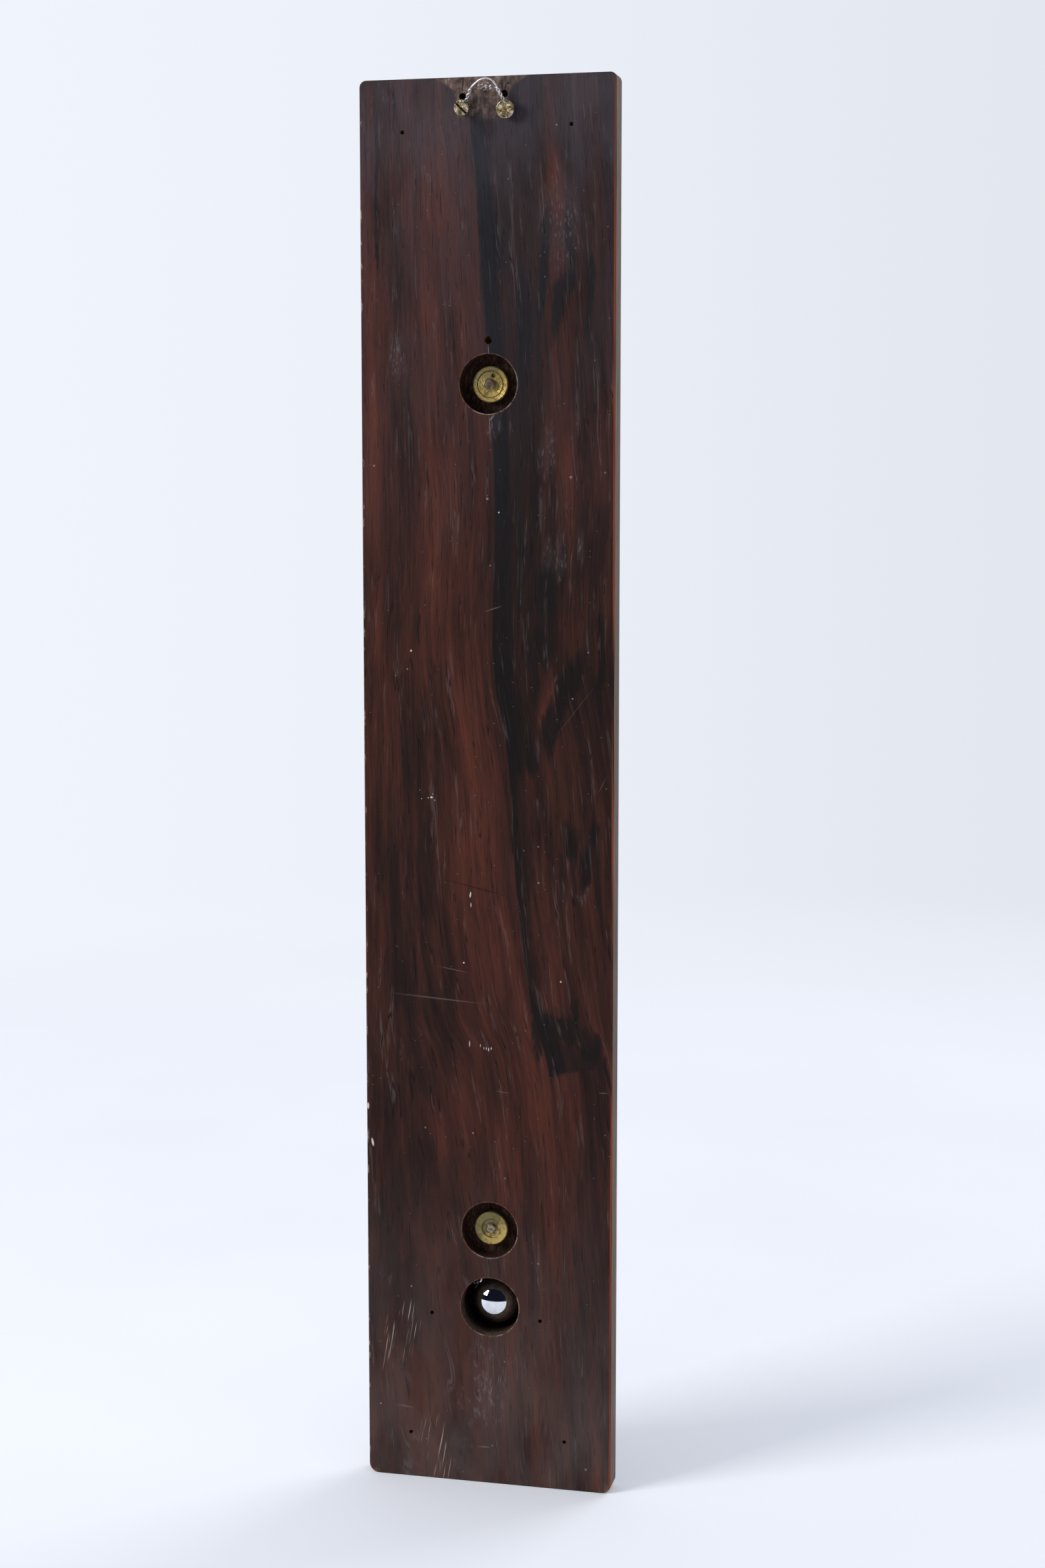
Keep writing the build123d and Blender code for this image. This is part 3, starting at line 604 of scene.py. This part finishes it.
    matt = wood.total([(ghost, 0.3), (scuffed, 0.08), (side, 0.25), (inside, 0.3), (streaks["fine"], 0.18)])
    dull = wood.plus(matt, wood.blend(dark, 0.4, 0.33))
    roughness = wood.blend(front, dull, wood.plus(wood.times(streaks["fine"], 0.08), 0.14))
    grain = wood.total([(streaks["hair"], 0.3), (streaks["fine"], 0.4), (pores, -0.9)])
    marks = wood.total([
        (scratches, -0.7), (chips, 0.8), (wood.times(fibres, inside), 1.2),
        (wood.times(ghost, ghost_colour), 1.5), (strokes, -0.4),
    ])
    relief = wood.blend(front, wood.plus(grain, marks), wood.times(grain, 0.25))
    grain_bump = wood.bump(relief, 0.12)
    return wood.finish(
        Roughness=roughness, Normal=grain_bump, Specular_IOR_Level=0.1,
        Coat_Weight=wood.times(front, 0.8), Coat_Roughness=0.08,
    )


# ---- the other woods, cork and leather
def turned_rosewood():
    """Dark polished wood, turned on a lathe, with its grain across the board."""
    wood = Shade("turned_rosewood")
    run = wood.join(wood.plus(wood.x, wood.times(wood.noise((14, 14, 40), 1, seed=4), 5)), wood.y, wood.z)
    broad = wood.noise((4.5, 9, 110), place=run, seed=21)
    fine = wood.noise((0.7, 2, 26), place=run, seed=23)
    pores = wood.spots(0.33, 0.27, (0.25, 0.6, 5), 1, place=run, seed=25)
    wood.colour = wood.ramp(wood.total([(broad, 0.65), (fine, 0.35)]), [
        (0.34, 30, 21, 20), (0.5, 62, 36, 30), (0.68, 98, 56, 42),
    ])
    wood.paint((18, 13, 13), pores, 0.8)
    roughness = wood.plus(wood.times(fine, 0.12), 0.14)
    relief = wood.total([(fine, 0.4), (pores, -0.6)])
    normal = wood.bump(relief, 0.04)
    return wood.finish(Roughness=roughness, Normal=normal, Coat_Weight=0.25, Coat_Roughness=0.1)


def pressed_cork():
    cork = Shade("pressed_cork")
    cells = cork.noise((0.8, 0.8, 1.2), 4, 0.7, seed=2)
    pits = cork.dots((1.6, 1.6, 1.9), 0.34, seed=5)
    cork.colour = cork.ramp(cells, [(0.32, 112, 76, 46), (0.52, 158, 116, 76), (0.7, 186, 146, 102)])
    cork.paint((70, 44, 28), pits, 0.75)
    relief = cork.total([(cells, 0.6), (pits, -0.9)])
    return cork.finish(Roughness=0.85, Normal=cork.bump(relief, 0.12))


def oiled_leather():
    hide = Shade("oiled_leather")
    pebble = hide.noise(0.35, 3, 0.6, seed=6)
    stain = hide.noise(3, seed=8)
    hide.colour = hide.ramp(hide.total([(pebble, 0.5), (stain, 0.5)]), [
        (0.35, 58, 36, 24), (0.6, 96, 62, 40),
    ])
    return hide.finish(Roughness=0.6, Normal=hide.bump(pebble, 0.06))


# ---- metals
def turned_rings(metal, centre, pitch):
    """Fine tool rings round an axis that is square to the board, and the distance from that axis."""
    off_x = metal.minus(metal.x, centre[0])
    off_z = metal.minus(metal.z, level(centre[1]))
    distance = metal.vector("LENGTH", metal.join(off_x, 0, off_z))
    uneven = metal.times(metal.noise(0.5, seed=3), 0.5)
    wavering = metal.plus(distance, metal.times(uneven, pitch))
    turns = metal.maths("SINE", metal.times(wavering, math.tau / pitch))
    return turns, distance


def tarnished_nut(name, height, olive):
    """A turned brass nut that has lain in its recess for years; olive is 1 for the greener one."""
    metal = Shade(name)
    rings, distance = turned_rings(metal, (MIDDLE_X, height), 0.42)
    cloud = metal.noise(2.4, 4, 0.65, seed=height * 0.1)
    stain = metal.noise(1.5, 3, 0.6, seed=height * 0.3)
    # Tarnish, laid on heavier toward the upper left as painted shade from the recess's rim
    toward = metal.times(metal.minus(metal.z, level(height)), 0.07)
    toward = metal.plus(toward, metal.times(metal.minus(metal.x, MIDDLE_X), 0.05))
    tarnish_and_shade = metal.smooth(metal.total([(cloud, 1), (toward, 0.8), (olive, 0.12)]), 0.38, 0.72)
    centre_dirt = metal.times(metal.smooth(distance, 4.2, 1.6), metal.smooth(stain, 0.34, 0.6))
    groove_dirt = metal.smooth(metal.size(metal.minus(distance, NUT_GROOVE_RADIUS)), 0.35, 0.1)
    specks = metal.spots(0.58, 0.7, 0.34, 3, 0.6, seed=height)
    metal.colour = metal.mix(tarnish_and_shade, srgb(196, 170, 98), srgb(124, 112, 72))
    metal.paint((96, 84, 58), metal.smooth(stain, 0.5, 0.68), 0.6)
    metal.paint((92, 84, 64), centre_dirt, 0.4 + 0.4 * olive)
    metal.paint((88, 76, 48), groove_dirt, 0.5 * (1 - olive))
    metal.paint((74, 62, 44), specks, 0.6)
    side = metal.smooth(metal.size(metal.split(metal.normal)[1]), 0.6, 0.3)
    metal.paint((92, 72, 44), side, 0.5)
    roughness = metal.total([(tarnish_and_shade, 0.16), (specks, 0.2), (cloud, 0.1), (1, 0.3)])
    relief = metal.total([(rings, 0.14), (cloud, 1.2), (specks, -0.5)])
    return metal.finish(Metallic=0.8, Roughness=roughness, Normal=metal.bump(relief, 0.12))


def bronze():
    """The grey-brown end of a stud."""
    metal = Shade("stud_bronze")
    cloud = metal.noise(0.9, 4, 0.6, seed=4)
    metal.colour = metal.ramp(cloud, [(0.3, 74, 62, 46), (0.5, 126, 110, 88), (0.72, 176, 160, 138)])
    return metal.finish(Metallic=0.8, Roughness=0.34, Normal=metal.bump(cloud, 0.12))


def screw_brass(name, place, radius, lean, battered):
    """Dull brass, filed across its head, with a painted highlight round its rim and painted shade in its
    slot, which is golden on a chewed head; battered is 1 for a chewed head.
    """
    metal = Shade(name)
    droop, side = math.radians(SCREW_DROOP), math.radians(lean)
    axis = (math.sin(side), math.cos(side) * math.cos(droop), -math.cos(side) * math.sin(droop))
    offset = metal.vector("SUBTRACT", metal.place, (place[0], 0, level(place[1])))
    parts = metal.split(metal.vector("MULTIPLY", offset, axis))
    along = metal.plus(metal.plus(parts[0], parts[1]), parts[2])
    below_face = metal.minus(SCREW_FACE, along)
    on_axis = metal.vector("MULTIPLY", metal.join(along, along, along), axis)
    reach = metal.vector("LENGTH", metal.vector("SUBTRACT", offset, on_axis))
    rim = metal.smooth(reach, radius - 0.45, radius - 0.15)
    cloud = metal.noise(1.5, 3, 0.6, seed=11)
    filed = metal.noise((0.16, 0.16, 2.4), seed=13)
    metal.colour = metal.ramp(metal.total([(cloud, 0.7), (filed, 0.3)]), [
        (0.36, 76, 66, 50), (0.48, 138, 124, 96), (0.6, 208, 196, 168),
    ])
    dents = metal.spots(0.46, 0.62, 0.9, 3, 0.6, seed=15)
    metal.paint((70, 60, 38), dents, 0.25 + 0.3 * battered)
    # Painted highlight round the rim of the head
    metal.paint((232, 224, 206), rim, metal.smooth(cloud, 0.3, 0.6), 0.7)
    # Painted shade in the slot and down the head's side; on the chewed head its gouge is painted golden
    # instead
    slot_shade_and_gouge = (150, 120, 56) if battered else (48, 42, 30)
    metal.paint(slot_shade_and_gouge, metal.smooth(below_face, 0.2, 0.6), 0.75)
    roughness = metal.total([(dents, 0.16), (filed, 0.08), (1, 0.2)])
    relief = metal.total([(filed, 0.25), (dents, -0.5 - 0.8 * battered)])
    return metal.finish(Metallic=0.92, Roughness=roughness, Normal=metal.bump(relief, 0.12))


def lacquered_brass(name, bright, brushed=(14, 14, 0.35)):
    """Polished brass under lacquer, with faint lathe marks and a little spotting."""
    metal = Shade(name)
    marks = metal.noise(brushed, seed=15)
    cloud = metal.noise(9, seed=17)
    spots = metal.spots(0.66, 0.74, 0.6, 3, 0.6, seed=19)
    metal.colour = metal.ramp(cloud, [(0.3, 178, 148, 92), (0.5, *bright), (0.72, 212, 184, 124)])
    metal.paint((120, 92, 56), spots, 0.4)
    roughness = metal.total([(marks, 0.12), (cloud, 0.04), (spots, 0.15), (1, 0.12)])
    relief = metal.total([(marks, 0.5), (spots, -0.3)])
    return metal.finish(Metallic=1, Roughness=roughness, Normal=metal.bump(relief, 0.012))


def silvered_brass():
    """The scales' silvering: pale, fine grained, and thin enough for the brass to show at places."""
    metal = Shade("silvered_brass")
    brushing = metal.noise((0.12, 0.12, 18), seed=33)
    cloud = metal.noise((9, 9, 26), 3, 0.6, seed=35)
    thin = metal.spots(0.58, 0.74, (3.5, 3.5, 11), 3, 0.65, seed=37)
    metal.colour = metal.ramp(cloud, [(0.3, 186, 184, 176), (0.7, 222, 220, 212)])
    metal.paint((194, 168, 112), thin, 0.55)
    roughness = metal.total([(brushing, 0.16), (cloud, 0.08), (1, 0.26)])
    return metal.finish(Metallic=0.85, Roughness=roughness, Normal=metal.bump(brushing, 0.006))


def tinned_wire():
    metal = Shade("tinned_wire")
    cloud = metal.noise(0.6, 3, 0.6, seed=39)
    metal.colour = metal.ramp(cloud, [(0.3, 186, 182, 184), (0.6, 228, 226, 228)])
    roughness = metal.total([(cloud, 0.2), (1, 0.28)])
    return metal.finish(Metallic=0.7, Roughness=roughness, Normal=metal.bump(cloud, 0.03))


def quicksilver():
    metal = Shade("quicksilver")
    film = metal.noise(2, seed=41)
    metal.colour = metal.ramp(film, [(0.3, 222, 224, 228), (0.7, 236, 238, 242)])
    return metal.finish(Metallic=1, Roughness=0.015)


def engraver_wax():
    """Black wax that fills the engraved lines."""
    wax = Shade("engraver_wax")
    cloud = wax.noise(0.5, 3, 0.6, seed=43)
    wax.colour = wax.ramp(cloud, [(0.3, 18, 16, 16), (0.7, 42, 38, 36)])
    return wax.finish(Roughness=0.55, Normal=wax.bump(cloud, 0.02))


# ---- glass, solution and crystals
def blown_glass():
    """Old tubing, faintly green, with slight draw lines along it."""
    glass = Shade("blown_glass")
    draw_lines = glass.noise((4, 4, 240), 1, seed=45)
    glass.colour = glass.ramp(draw_lines, [(0.3, 247, 251, 250), (0.7, 252, 254, 253)])
    return glass.finish(Transmission_Weight=1, Roughness=0, IOR=1.5, Normal=glass.bump(draw_lines, 0.006))


def camphor_solution():
    liquid = Shade("camphor_solution")
    cloudy = liquid.noise((12, 12, 50), seed=47)
    liquid.colour = liquid.ramp(cloudy, [(0.3, 250, 252, 250), (0.7, 254, 254, 254)])
    return liquid.finish(Transmission_Weight=1, Roughness=0, IOR=1.36)


def camphor():
    crystal = Shade("camphor_crystal")
    frost = crystal.noise(0.7, 3, 0.6, seed=49)
    crystal.colour = crystal.ramp(frost, [(0.3, 236, 238, 240), (0.7, 254, 254, 254)])
    relief = crystal.bump(frost, 0.08)
    return crystal.finish(Roughness=0.4, Subsurface_Weight=0.3, Subsurface_Scale=0.002, Normal=relief)


# ---- new pieces
def add_object(name, data):
    made = bpy.data.objects.new(name, data)
    bpy.context.scene.collection.objects.link(made)
    return made


def add_mesh(name, build, material):
    """Make an object from what build puts into a bmesh, in metres."""
    shape = bmesh.new()
    build(shape)
    bmesh.ops.recalc_face_normals(shape, faces=shape.faces)
    mesh = bpy.data.meshes.new(name)
    shape.to_mesh(mesh)
    shape.free()
    mesh.materials.append(material)
    return add_object(name, mesh)


def smooth_faces(piece):
    for face in piece.data.polygons:
        face.use_smooth = True


def lathe(shape, profile, centre, steps=64):
    """Turn a profile of (radius, height) points, in millimetres, round an upright axis."""
    rings = []
    for radius, height in profile:
        if radius < 1e-6:
            rings.append([shape.verts.new(metres((centre[0], centre[1], level(height))))])
            continue
        ring = []
        for step in range(steps):
            turn = math.tau * step / steps
            x = centre[0] + radius * math.cos(turn)
            y = centre[1] + radius * math.sin(turn)
            ring.append(shape.verts.new(metres((x, y, level(height)))))
        rings.append(ring)
    for lower, upper in zip(rings, rings[1:]):
        for step in range(steps):
            following = (step + 1) % steps
            corners = [lower[step % len(lower)], lower[following % len(lower)]]
            corners += [upper[following % len(upper)], upper[step % len(upper)]]
            unique = list(dict.fromkeys(corners))
            if len(unique) > 2:
                shape.faces.new(unique)


def bowl(radius, height, steps, sweep=math.pi / 2):
    """(radius, height) points up the side of a ball with that middle height, from its lowest point."""
    turns = [sweep * step / steps for step in range(steps + 1)]
    return [(radius * math.sin(turn), height - radius * math.cos(turn)) for turn in turns]


def sweep_tube(shape, path, radius, sides=16):
    """A round tube along points in millimetres, with closed ends."""
    rings = []
    side = None
    for index, point in enumerate(path):
        before = path[max(index - 1, 0)]
        after = path[min(index + 1, len(path) - 1)]
        ahead = (after - before).normalized()
        if side is None:
            side = ahead.orthogonal().normalized()
        side = (side - ahead * side.dot(ahead)).normalized()
        other = ahead.cross(side)
        ring = []
        for step in range(sides):
            turn = math.tau * step / sides
            outward = side * math.cos(turn) + other * math.sin(turn)
            ring.append(shape.verts.new((point + outward * radius) * MM))
        rings.append(ring)
    for first, second in zip(rings, rings[1:]):
        for step in range(sides):
            following = (step + 1) % sides
            shape.faces.new((first[step], first[following], second[following], second[step]))
    shape.faces.new(list(reversed(rings[0])))
    shape.faces.new(rings[-1])


def rounded_route(corners, bend, steps=14):
    """Points along straight runs whose corners are rounded to a bend radius."""
    route = [corners[0]]
    for before, corner, after in zip(corners, corners[1:], corners[2:]):
        back = (before - corner).normalized()
        onward = (after - corner).normalized()
        half_angle = back.angle(onward) / 2
        reach = bend / math.tan(half_angle)
        centre = corner + (back + onward).normalized() * bend / math.sin(half_angle)
        start = (corner + back * reach - centre).normalized()
        end = (corner + onward * reach - centre).normalized()
        for step in range(steps + 1):
            route.append(centre + start.slerp(end, step / steps) * bend)
    route.append(corners[-1])
    return route


def wire_point(across, up, out=0):
    return WIRE_CENTRE + WIRE_ACROSS * across + WIRE_UP * up + WIRE_OUT * out


def strand(start, end, turns, phase, steps=60):
    """One of two strands twisted together between two places in the wire's plane."""
    direction = (Vector(end) - Vector(start)).normalized()
    sideways = Vector((-direction.y, direction.x))
    points = []
    for step in range(steps + 1):
        share = step / steps
        turn = phase + math.tau * turns * share
        middle = Vector(start).lerp(Vector(end), share)
        swing = sideways * STRAND_SWING * math.cos(turn)
        points.append(wire_point(middle.x + swing.x, middle.y + swing.y, STRAND_SWING * math.sin(turn)))
    return points


def smooth_through(points, steps=8):
    """A smooth line through points in millimetres."""
    line = []
    padded = [points[0]] + list(points) + [points[-1]]
    for p0, p1, p2, p3 in zip(padded, padded[1:], padded[2:], padded[3:]):
        for step in range(steps):
            t = step / steps
            line.append(
                p1 * (1 - 2.5 * t * t + 1.5 * t ** 3) + p0 * (-0.5 * t + t * t - 0.5 * t ** 3)
                + p2 * (0.5 * t + 2 * t * t - 1.5 * t ** 3) + p3 * (-0.5 * t * t + 0.5 * t ** 3)
            )
    line.append(points[-1])
    return line


def build_wire(shape):
    """One strand runs up, over the arch and down; the other twists round it on each leg."""
    rise = strand(LEFT_FOOT, LEFT_KNUCKLE, LEFT_TURNS, LEFT_PHASE)
    fall = strand(RIGHT_KNUCKLE, RIGHT_FOOT, RIGHT_TURNS, RIGHT_PHASE)
    arch = smooth_through([rise[-3]] + [wire_point(*point) for point in ARCH] + [fall[2]])
    sweep_tube(shape, rise[:-3] + arch + fall[3:], STRAND_RADIUS + 0.02)
    sweep_tube(shape, strand(LEFT_FOOT, LEFT_KNUCKLE, LEFT_TURNS, LEFT_PHASE + math.pi), STRAND_RADIUS)
    sweep_tube(shape, strand(RIGHT_KNUCKLE, RIGHT_FOOT, RIGHT_TURNS, RIGHT_PHASE + math.pi), STRAND_RADIUS)
    for side in (-1, 1):
        eye = []
        for step in range(EYE_STEPS + 1):
            turn = math.tau * step / EYE_STEPS
            eye.append(wire_point(side * EYE_SPAN + EYE_RADIUS * math.cos(turn), EYE_RADIUS * math.sin(turn)))
        sweep_tube(shape, eye, WIRE_RADIUS)


def add_hanging_wire():
    wire = add_mesh("twisted_hanging_wire", build_wire, tinned_wire())
    smooth_faces(wire)
    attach(wire, "hanger")
    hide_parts("hanging_wire")


def build_mercury(shape):
    radius = BULB_INNER_RADIUS + WETTING
    lathe(shape, bowl(radius, BULB_CENTRE[2], 32, math.pi), BULB_CENTRE[:2])
    corners = [Vector((x, y, level(height))) for x, y, height in STEM_CORNERS]
    corners.append(Vector((*STEM_CORNERS[-1][:2], level(MERCURY_TOP))))
    sweep_tube(shape, rounded_route(corners, STEM_BEND), STEM_BORE + WETTING)


def add_mercury():
    mercury = add_mesh("mercury_fill", build_mercury, quicksilver())
    smooth_faces(mercury)
    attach(mercury, "body")
    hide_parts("mercury")


def build_solution(shape):
    """The liquid, with a meniscus that climbs the glass a little."""
    radius = TUBE_BORE + WETTING
    profile = bowl(radius, TUBE_FLOOR, 16)
    # Extra rings keep the long wall's normals level
    profile += [(radius, TUBE_FLOOR + 1), (radius, SOLUTION_TOP - 1.6), (radius, SOLUTION_TOP - 0.8)]
    profile += [(reach, SOLUTION_TOP - drop) for reach, drop in (
        (radius, 0.1), (radius - 0.25, 0.35), (radius - 0.9, 0.9), (radius - 2.2, 1.3), (0, 1.4)
    )]
    lathe(shape, profile, (MIDDLE_X, TUBE_Y))


def add_solution():
    solution = add_mesh("camphor_solution_fill", build_solution, camphor_solution())
    smooth_faces(solution)
    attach(solution, "glass")
    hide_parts("storm_solution")
    let_light_through(solution)


def add_blade(shape, root, tip, width, across):
    """A thin four-sided crystal needle from root to tip."""
    direction = (tip - root).normalized()
    side = direction.cross(across).normalized() * width
    thick = direction.cross(side).normalized() * width * 0.35
    middle = root.lerp(tip, 0.3)
    ring = [shape.verts.new((middle + offset) * MM) for offset in (side, thick, -side, -thick)]
    base = shape.verts.new(root * MM)
    point = shape.verts.new(tip * MM)
    for step in range(4):
        shape.faces.new((ring[step], ring[(step + 1) % 4], point))
        shape.faces.new((ring[(step + 1) % 4], ring[step], base))


def inside_tube(point, limit):
    """Pull a point back inside a round tube of that radius."""
    off = Vector((point.x - MIDDLE_X, point.y - TUBE_Y))
    if off.length > limit:
        off = off.normalized() * limit
    return Vector((MIDDLE_X + off.x, TUBE_Y + off.y, point.z))


def add_frond(shape, chance, root, tip):
    """A fern-like crystal: one stem with barbs that shorten toward its tip."""
    stem = tip - root
    flat = Vector((chance.uniform(-1, 1), chance.uniform(-1, 1), 0.1)).normalized()
    sideways = stem.cross(flat).normalized()
    add_blade(shape, root, tip, STEM_WIDTH, flat)
    barbs = max(5, int(stem.length / BARB_SPACING))
    for index in range(1, barbs):
        share = index / barbs
        start = root + stem * share
        reach = (1 - share) * stem.length * 0.3 + 0.35
        for side in (-1, 1):
            end = start + (stem.normalized() * 0.8 + sideways * side) * reach * chance.uniform(0.75, 1.1)
            add_blade(shape, start, inside_tube(end, CAKE_RADIUS), BARB_WIDTH, flat)


def build_crystals(shape):
    """A cake of settled crystals with a ragged top, and fronds that grow up from it."""
    chance = random.Random(1863)
    profile = bowl(CAKE_RADIUS, TUBE_FLOOR, 9)
    profile += [(CAKE_RADIUS, 100), (6.9, 108), (5.6, 113.5), (3.4, 116), (1.2, 118.5), (0, 119)]
    lathe(shape, profile, (MIDDLE_X, TUBE_Y), 40)
    for vertex in shape.verts:
        if vertex.co.z > level(104) * MM:
            vertex.co.z += chance.uniform(-1.1, 1.1) * MM
    for _ in range(FROND_COUNT):
        turn = chance.uniform(0, math.tau)
        reach = FROND_ROOT_RADIUS * math.sqrt(chance.random())
        low = chance.uniform(100, 116)
        root = Vector((MIDDLE_X + reach * math.cos(turn), TUBE_Y + reach * math.sin(turn), level(low)))
        length = chance.uniform(7, 20) * (1.25 - reach / 9)
        lean = Vector((math.cos(turn), math.sin(turn), 0)) * chance.uniform(-0.15, 0.4)
        tip = root + (Vector((0, 0, 1)) + lean).normalized() * length
        tip.z = min(tip.z, level(FROND_TOP))
        add_frond(shape, chance, root, inside_tube(tip, FROND_TIP_RADIUS))


def add_crystals():
    crystals = add_mesh("fern_crystals", build_crystals, camphor())
    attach(crystals, "glass")
    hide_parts("camphor_crystals")


def add_ticks(shape, centre_x, side, spacing, first, last):
    """Engraved lines up one edge of a strip; every fifth is longer, and every tenth longest."""
    for index in range(int((last - first) / spacing) + 1):
        height = first + index * spacing
        length, half = LONG_TICK if index % 10 == 0 else MIDDLE_TICK if index % 5 == 0 else SHORT_TICK
        outer = centre_x + side * TICK_EDGE
        inner = outer - side * length
        corners = []
        for y in (STRIP_FRONT + ENGRAVED_DEPTH, STRIP_FRONT - WAX_HEIGHT):
            for x, z in ((outer, -half), (inner, -half), (inner, half), (outer, half)):
                corners.append(shape.verts.new(metres((x, y, level(height) + z))))
        shape.faces.new(corners[:4])
        shape.faces.new(corners[4:])
        for step in range(4):
            following = (step + 1) % 4
            shape.faces.new((corners[step], corners[following], corners[following + 4], corners[step + 4]))


def add_number(name, number, x, height, material):
    """An engraved numeral that faces the front."""
    text = bpy.data.curves.new(name, "FONT")
    text.body = str(number)
    text.size = NUMBER_SIZE * MM
    text.align_x = "CENTER"
    text.align_y = "CENTER"
    text.extrude = WAX_HEIGHT * MM
    text.materials.append(material)
    numeral = add_object(name, text)
    numeral.location = metres((x, STRIP_FRONT, level(height)))
    numeral.rotation_euler = (math.radians(90), 0, 0)
    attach(numeral, "body")


def add_scale(name, centre_x, side, spacing, first, last, numbers):
    """Ticks and numbers on one strip; numbers are the first value and the step between values."""
    wax = engraver_wax()

    def build(shape):
        add_ticks(shape, centre_x, side, spacing, first, last)

    ticks = add_mesh(f"{name}_ticks", build, wax)
    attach(ticks, "body")
    value, step = numbers
    height = first
    while height <= last + 0.01:
        add_number(f"{name}_{value}", value, centre_x - side * NUMBER_SHIFT, height, wax)
        value += step
        height += spacing * 10


# ---- camera, light and stage
CAMERA_PLACE = Vector((-0.1997, 0.7911, 0.1053))
CAMERA_FORWARD = Vector((0.2295, -0.9658, -0.1204))
CAMERA_LENS = 57.8
FLOOR = level(0) * MM
FLOOR_REACH = 3
FLOOR_FADE = (380, 1300)


def add_camera():
    data = bpy.data.cameras.new("camera")
    data.lens = CAMERA_LENS
    data.sensor_width = 36
    data.clip_start = 0.01
    camera = add_object("camera", data)
    camera.location = CAMERA_PLACE
    camera.rotation_euler = CAMERA_FORWARD.to_track_quat("-Z", "Y").to_euler()
    bpy.context.scene.camera = camera


def add_light(name, direction, distance, size, power, colour=(1, 1, 1)):
    """A soft square light that faces the middle of the board."""
    data = bpy.data.lights.new(name, "AREA")
    data.shape = "SQUARE"
    data.size = size
    data.energy = power
    data.color = colour
    light = add_object(name, data)
    light.location = Vector(direction).normalized() * distance
    light.rotation_euler = (-light.location).to_track_quat("-Z", "Y").to_euler()


def add_lights():
    add_light("window", (0.7, 0.6, 0.385), distance=1.9, size=0.72, power=24, colour=(1, 0.985, 0.96))
    add_light("front_fill", (-0.5, -0.8, 0.55), distance=1.8, size=1, power=9)


def add_floor():
    """A pale floor that fades out into the backdrop."""
    def build(shape):
        signs = ((-1, -1), (1, -1), (1, 1), (-1, 1))
        shape.faces.new([shape.verts.new((x * FLOOR_REACH, y * FLOOR_REACH, FLOOR)) for x, y in signs])

    card = Shade("pale_card")
    texture = card.noise(260, 3, seed=1)
    card.colour = card.ramp(texture, [(0.3, 238, 240, 245), (0.7, 244, 246, 250)])
    card.finish(Roughness=0.9, Specular_IOR_Level=0.1, Emission_Color=card.colour, Emission_Strength=0.13)
    distance = card.vector("LENGTH", card.join(card.x, card.y, 0))
    fade = card.smooth(distance, *FLOOR_FADE)
    clear = card.node("ShaderNodeBsdfTransparent")
    both = card.node("ShaderNodeMixShader")
    card.link(fade, both.inputs[0])
    card.link(card.shader.outputs[0], both.inputs[1])
    card.link(clear.outputs[0], both.inputs[2])
    card.link(both.outputs[0], card.output.inputs["Surface"])
    floor = add_mesh("floor", build, card.material)


def add_world():
    """A pale backdrop, soft light all round, and a dim room to reflect behind the camera."""
    world = bpy.data.worlds.new("studio")
    bpy.context.scene.world = world
    world.use_nodes = True
    sky = Nodes(world.node_tree)
    toward_x, toward_y, toward_z = sky.split(sky.node("ShaderNodeTexCoord").outputs["Generated"])
    backdrop = sky.mix(sky.smooth(toward_x, -0.05, 0.45), srgb(226, 230, 239), srgb(240, 244, 252))
    above = sky.smooth(toward_z, -0.012, 0.012)
    past_table = sky.smooth(toward_z, -0.215, -0.175)
    behind_camera = sky.smooth(toward_y, -0.1, 0.45)
    reflected = sky.mix(sky.times(past_table, behind_camera), srgb(240, 238, 236), srgb(20, 23, 34))
    soft_light = sky.mix(above, srgb(214, 217, 224), srgb(180, 186, 198))
    rays = sky.node("ShaderNodeLightPath")
    seen = sky.mix(rays.outputs["Is Diffuse Ray"], reflected, soft_light)
    seen = sky.mix(rays.outputs["Is Camera Ray"], seen, backdrop)
    background = sky.node("ShaderNodeBackground")
    sky.link(seen, background.inputs["Color"])
    sky.link(background.outputs[0], sky.node("ShaderNodeOutputWorld").inputs["Surface"])


# ---- put together
def let_light_through(*pieces):
    """Clear glass and liquid don't darken what stands behind them."""
    for piece in pieces:
        piece.visible_shadow = False


def dress_nodes():
    """Every CAD node that still shows gets its finish."""
    fittings = lacquered_brass("lacquered_brass", (196, 166, 106))
    small_brass = lacquered_brass("small_brass", (190, 160, 102), (0.3, 0.3, 0.3))
    dress(rosewood_board(), "backboard")
    dress(turned_rosewood(), "bulb_cover")
    dress(fittings, "upper_bracket", "collar_strap", "lower_bracket", "tube_ferrule", "tube_cap")
    dress(small_brass, "strap_screws", "scale_pins", "cover_pins", "stem_staples")
    dress(small_brass, "upper_washer", "lower_washer")
    dress(tarnished_nut("upper_nut_brass", UPPER_RECESS_HEIGHT, olive=0), "upper_nut")
    dress(tarnished_nut("lower_nut_brass", LOWER_RECESS_HEIGHT, olive=1), "lower_nut")
    dress(bronze(), "upper_stud", "lower_stud", "steady_pin")
    left_screw = screw_brass("screw_brass_left", (-6.9, 453.06), radius=2.9, lean=0, battered=1)
    right_screw = screw_brass("screw_brass_right", (6.96, 453.91), radius=2.5, lean=6, battered=0)
    dress(left_screw, "hanger_screw_left")
    dress(right_screw, "hanger_screw_right")
    dress(pressed_cork(), "tube_cork", "collar_liner", "cup_pad")
    dress(oiled_leather(), "cap_washer")
    dress(silvered_brass(), "thermometer_scale", "storm_scale")
    dress(blown_glass(), "storm_tube", "thermometer_tube")
    let_light_through(nodes["storm_tube"], nodes["thermometer_tube"])


add_camera()
add_lights()
add_floor()
add_world()
dress_nodes()
add_hanging_wire()
add_mercury()
add_solution()
add_crystals()
add_scale("thermometer", THERMOMETER_SCALE_X, side=-1, spacing=2.6, first=100, last=334, numbers=(0, 10))
add_scale("storm", STORM_SCALE_X, side=1, spacing=2.54, first=110, last=339, numbers=(0, 1))
bpy.context.scene.view_settings.view_transform = "Standard"
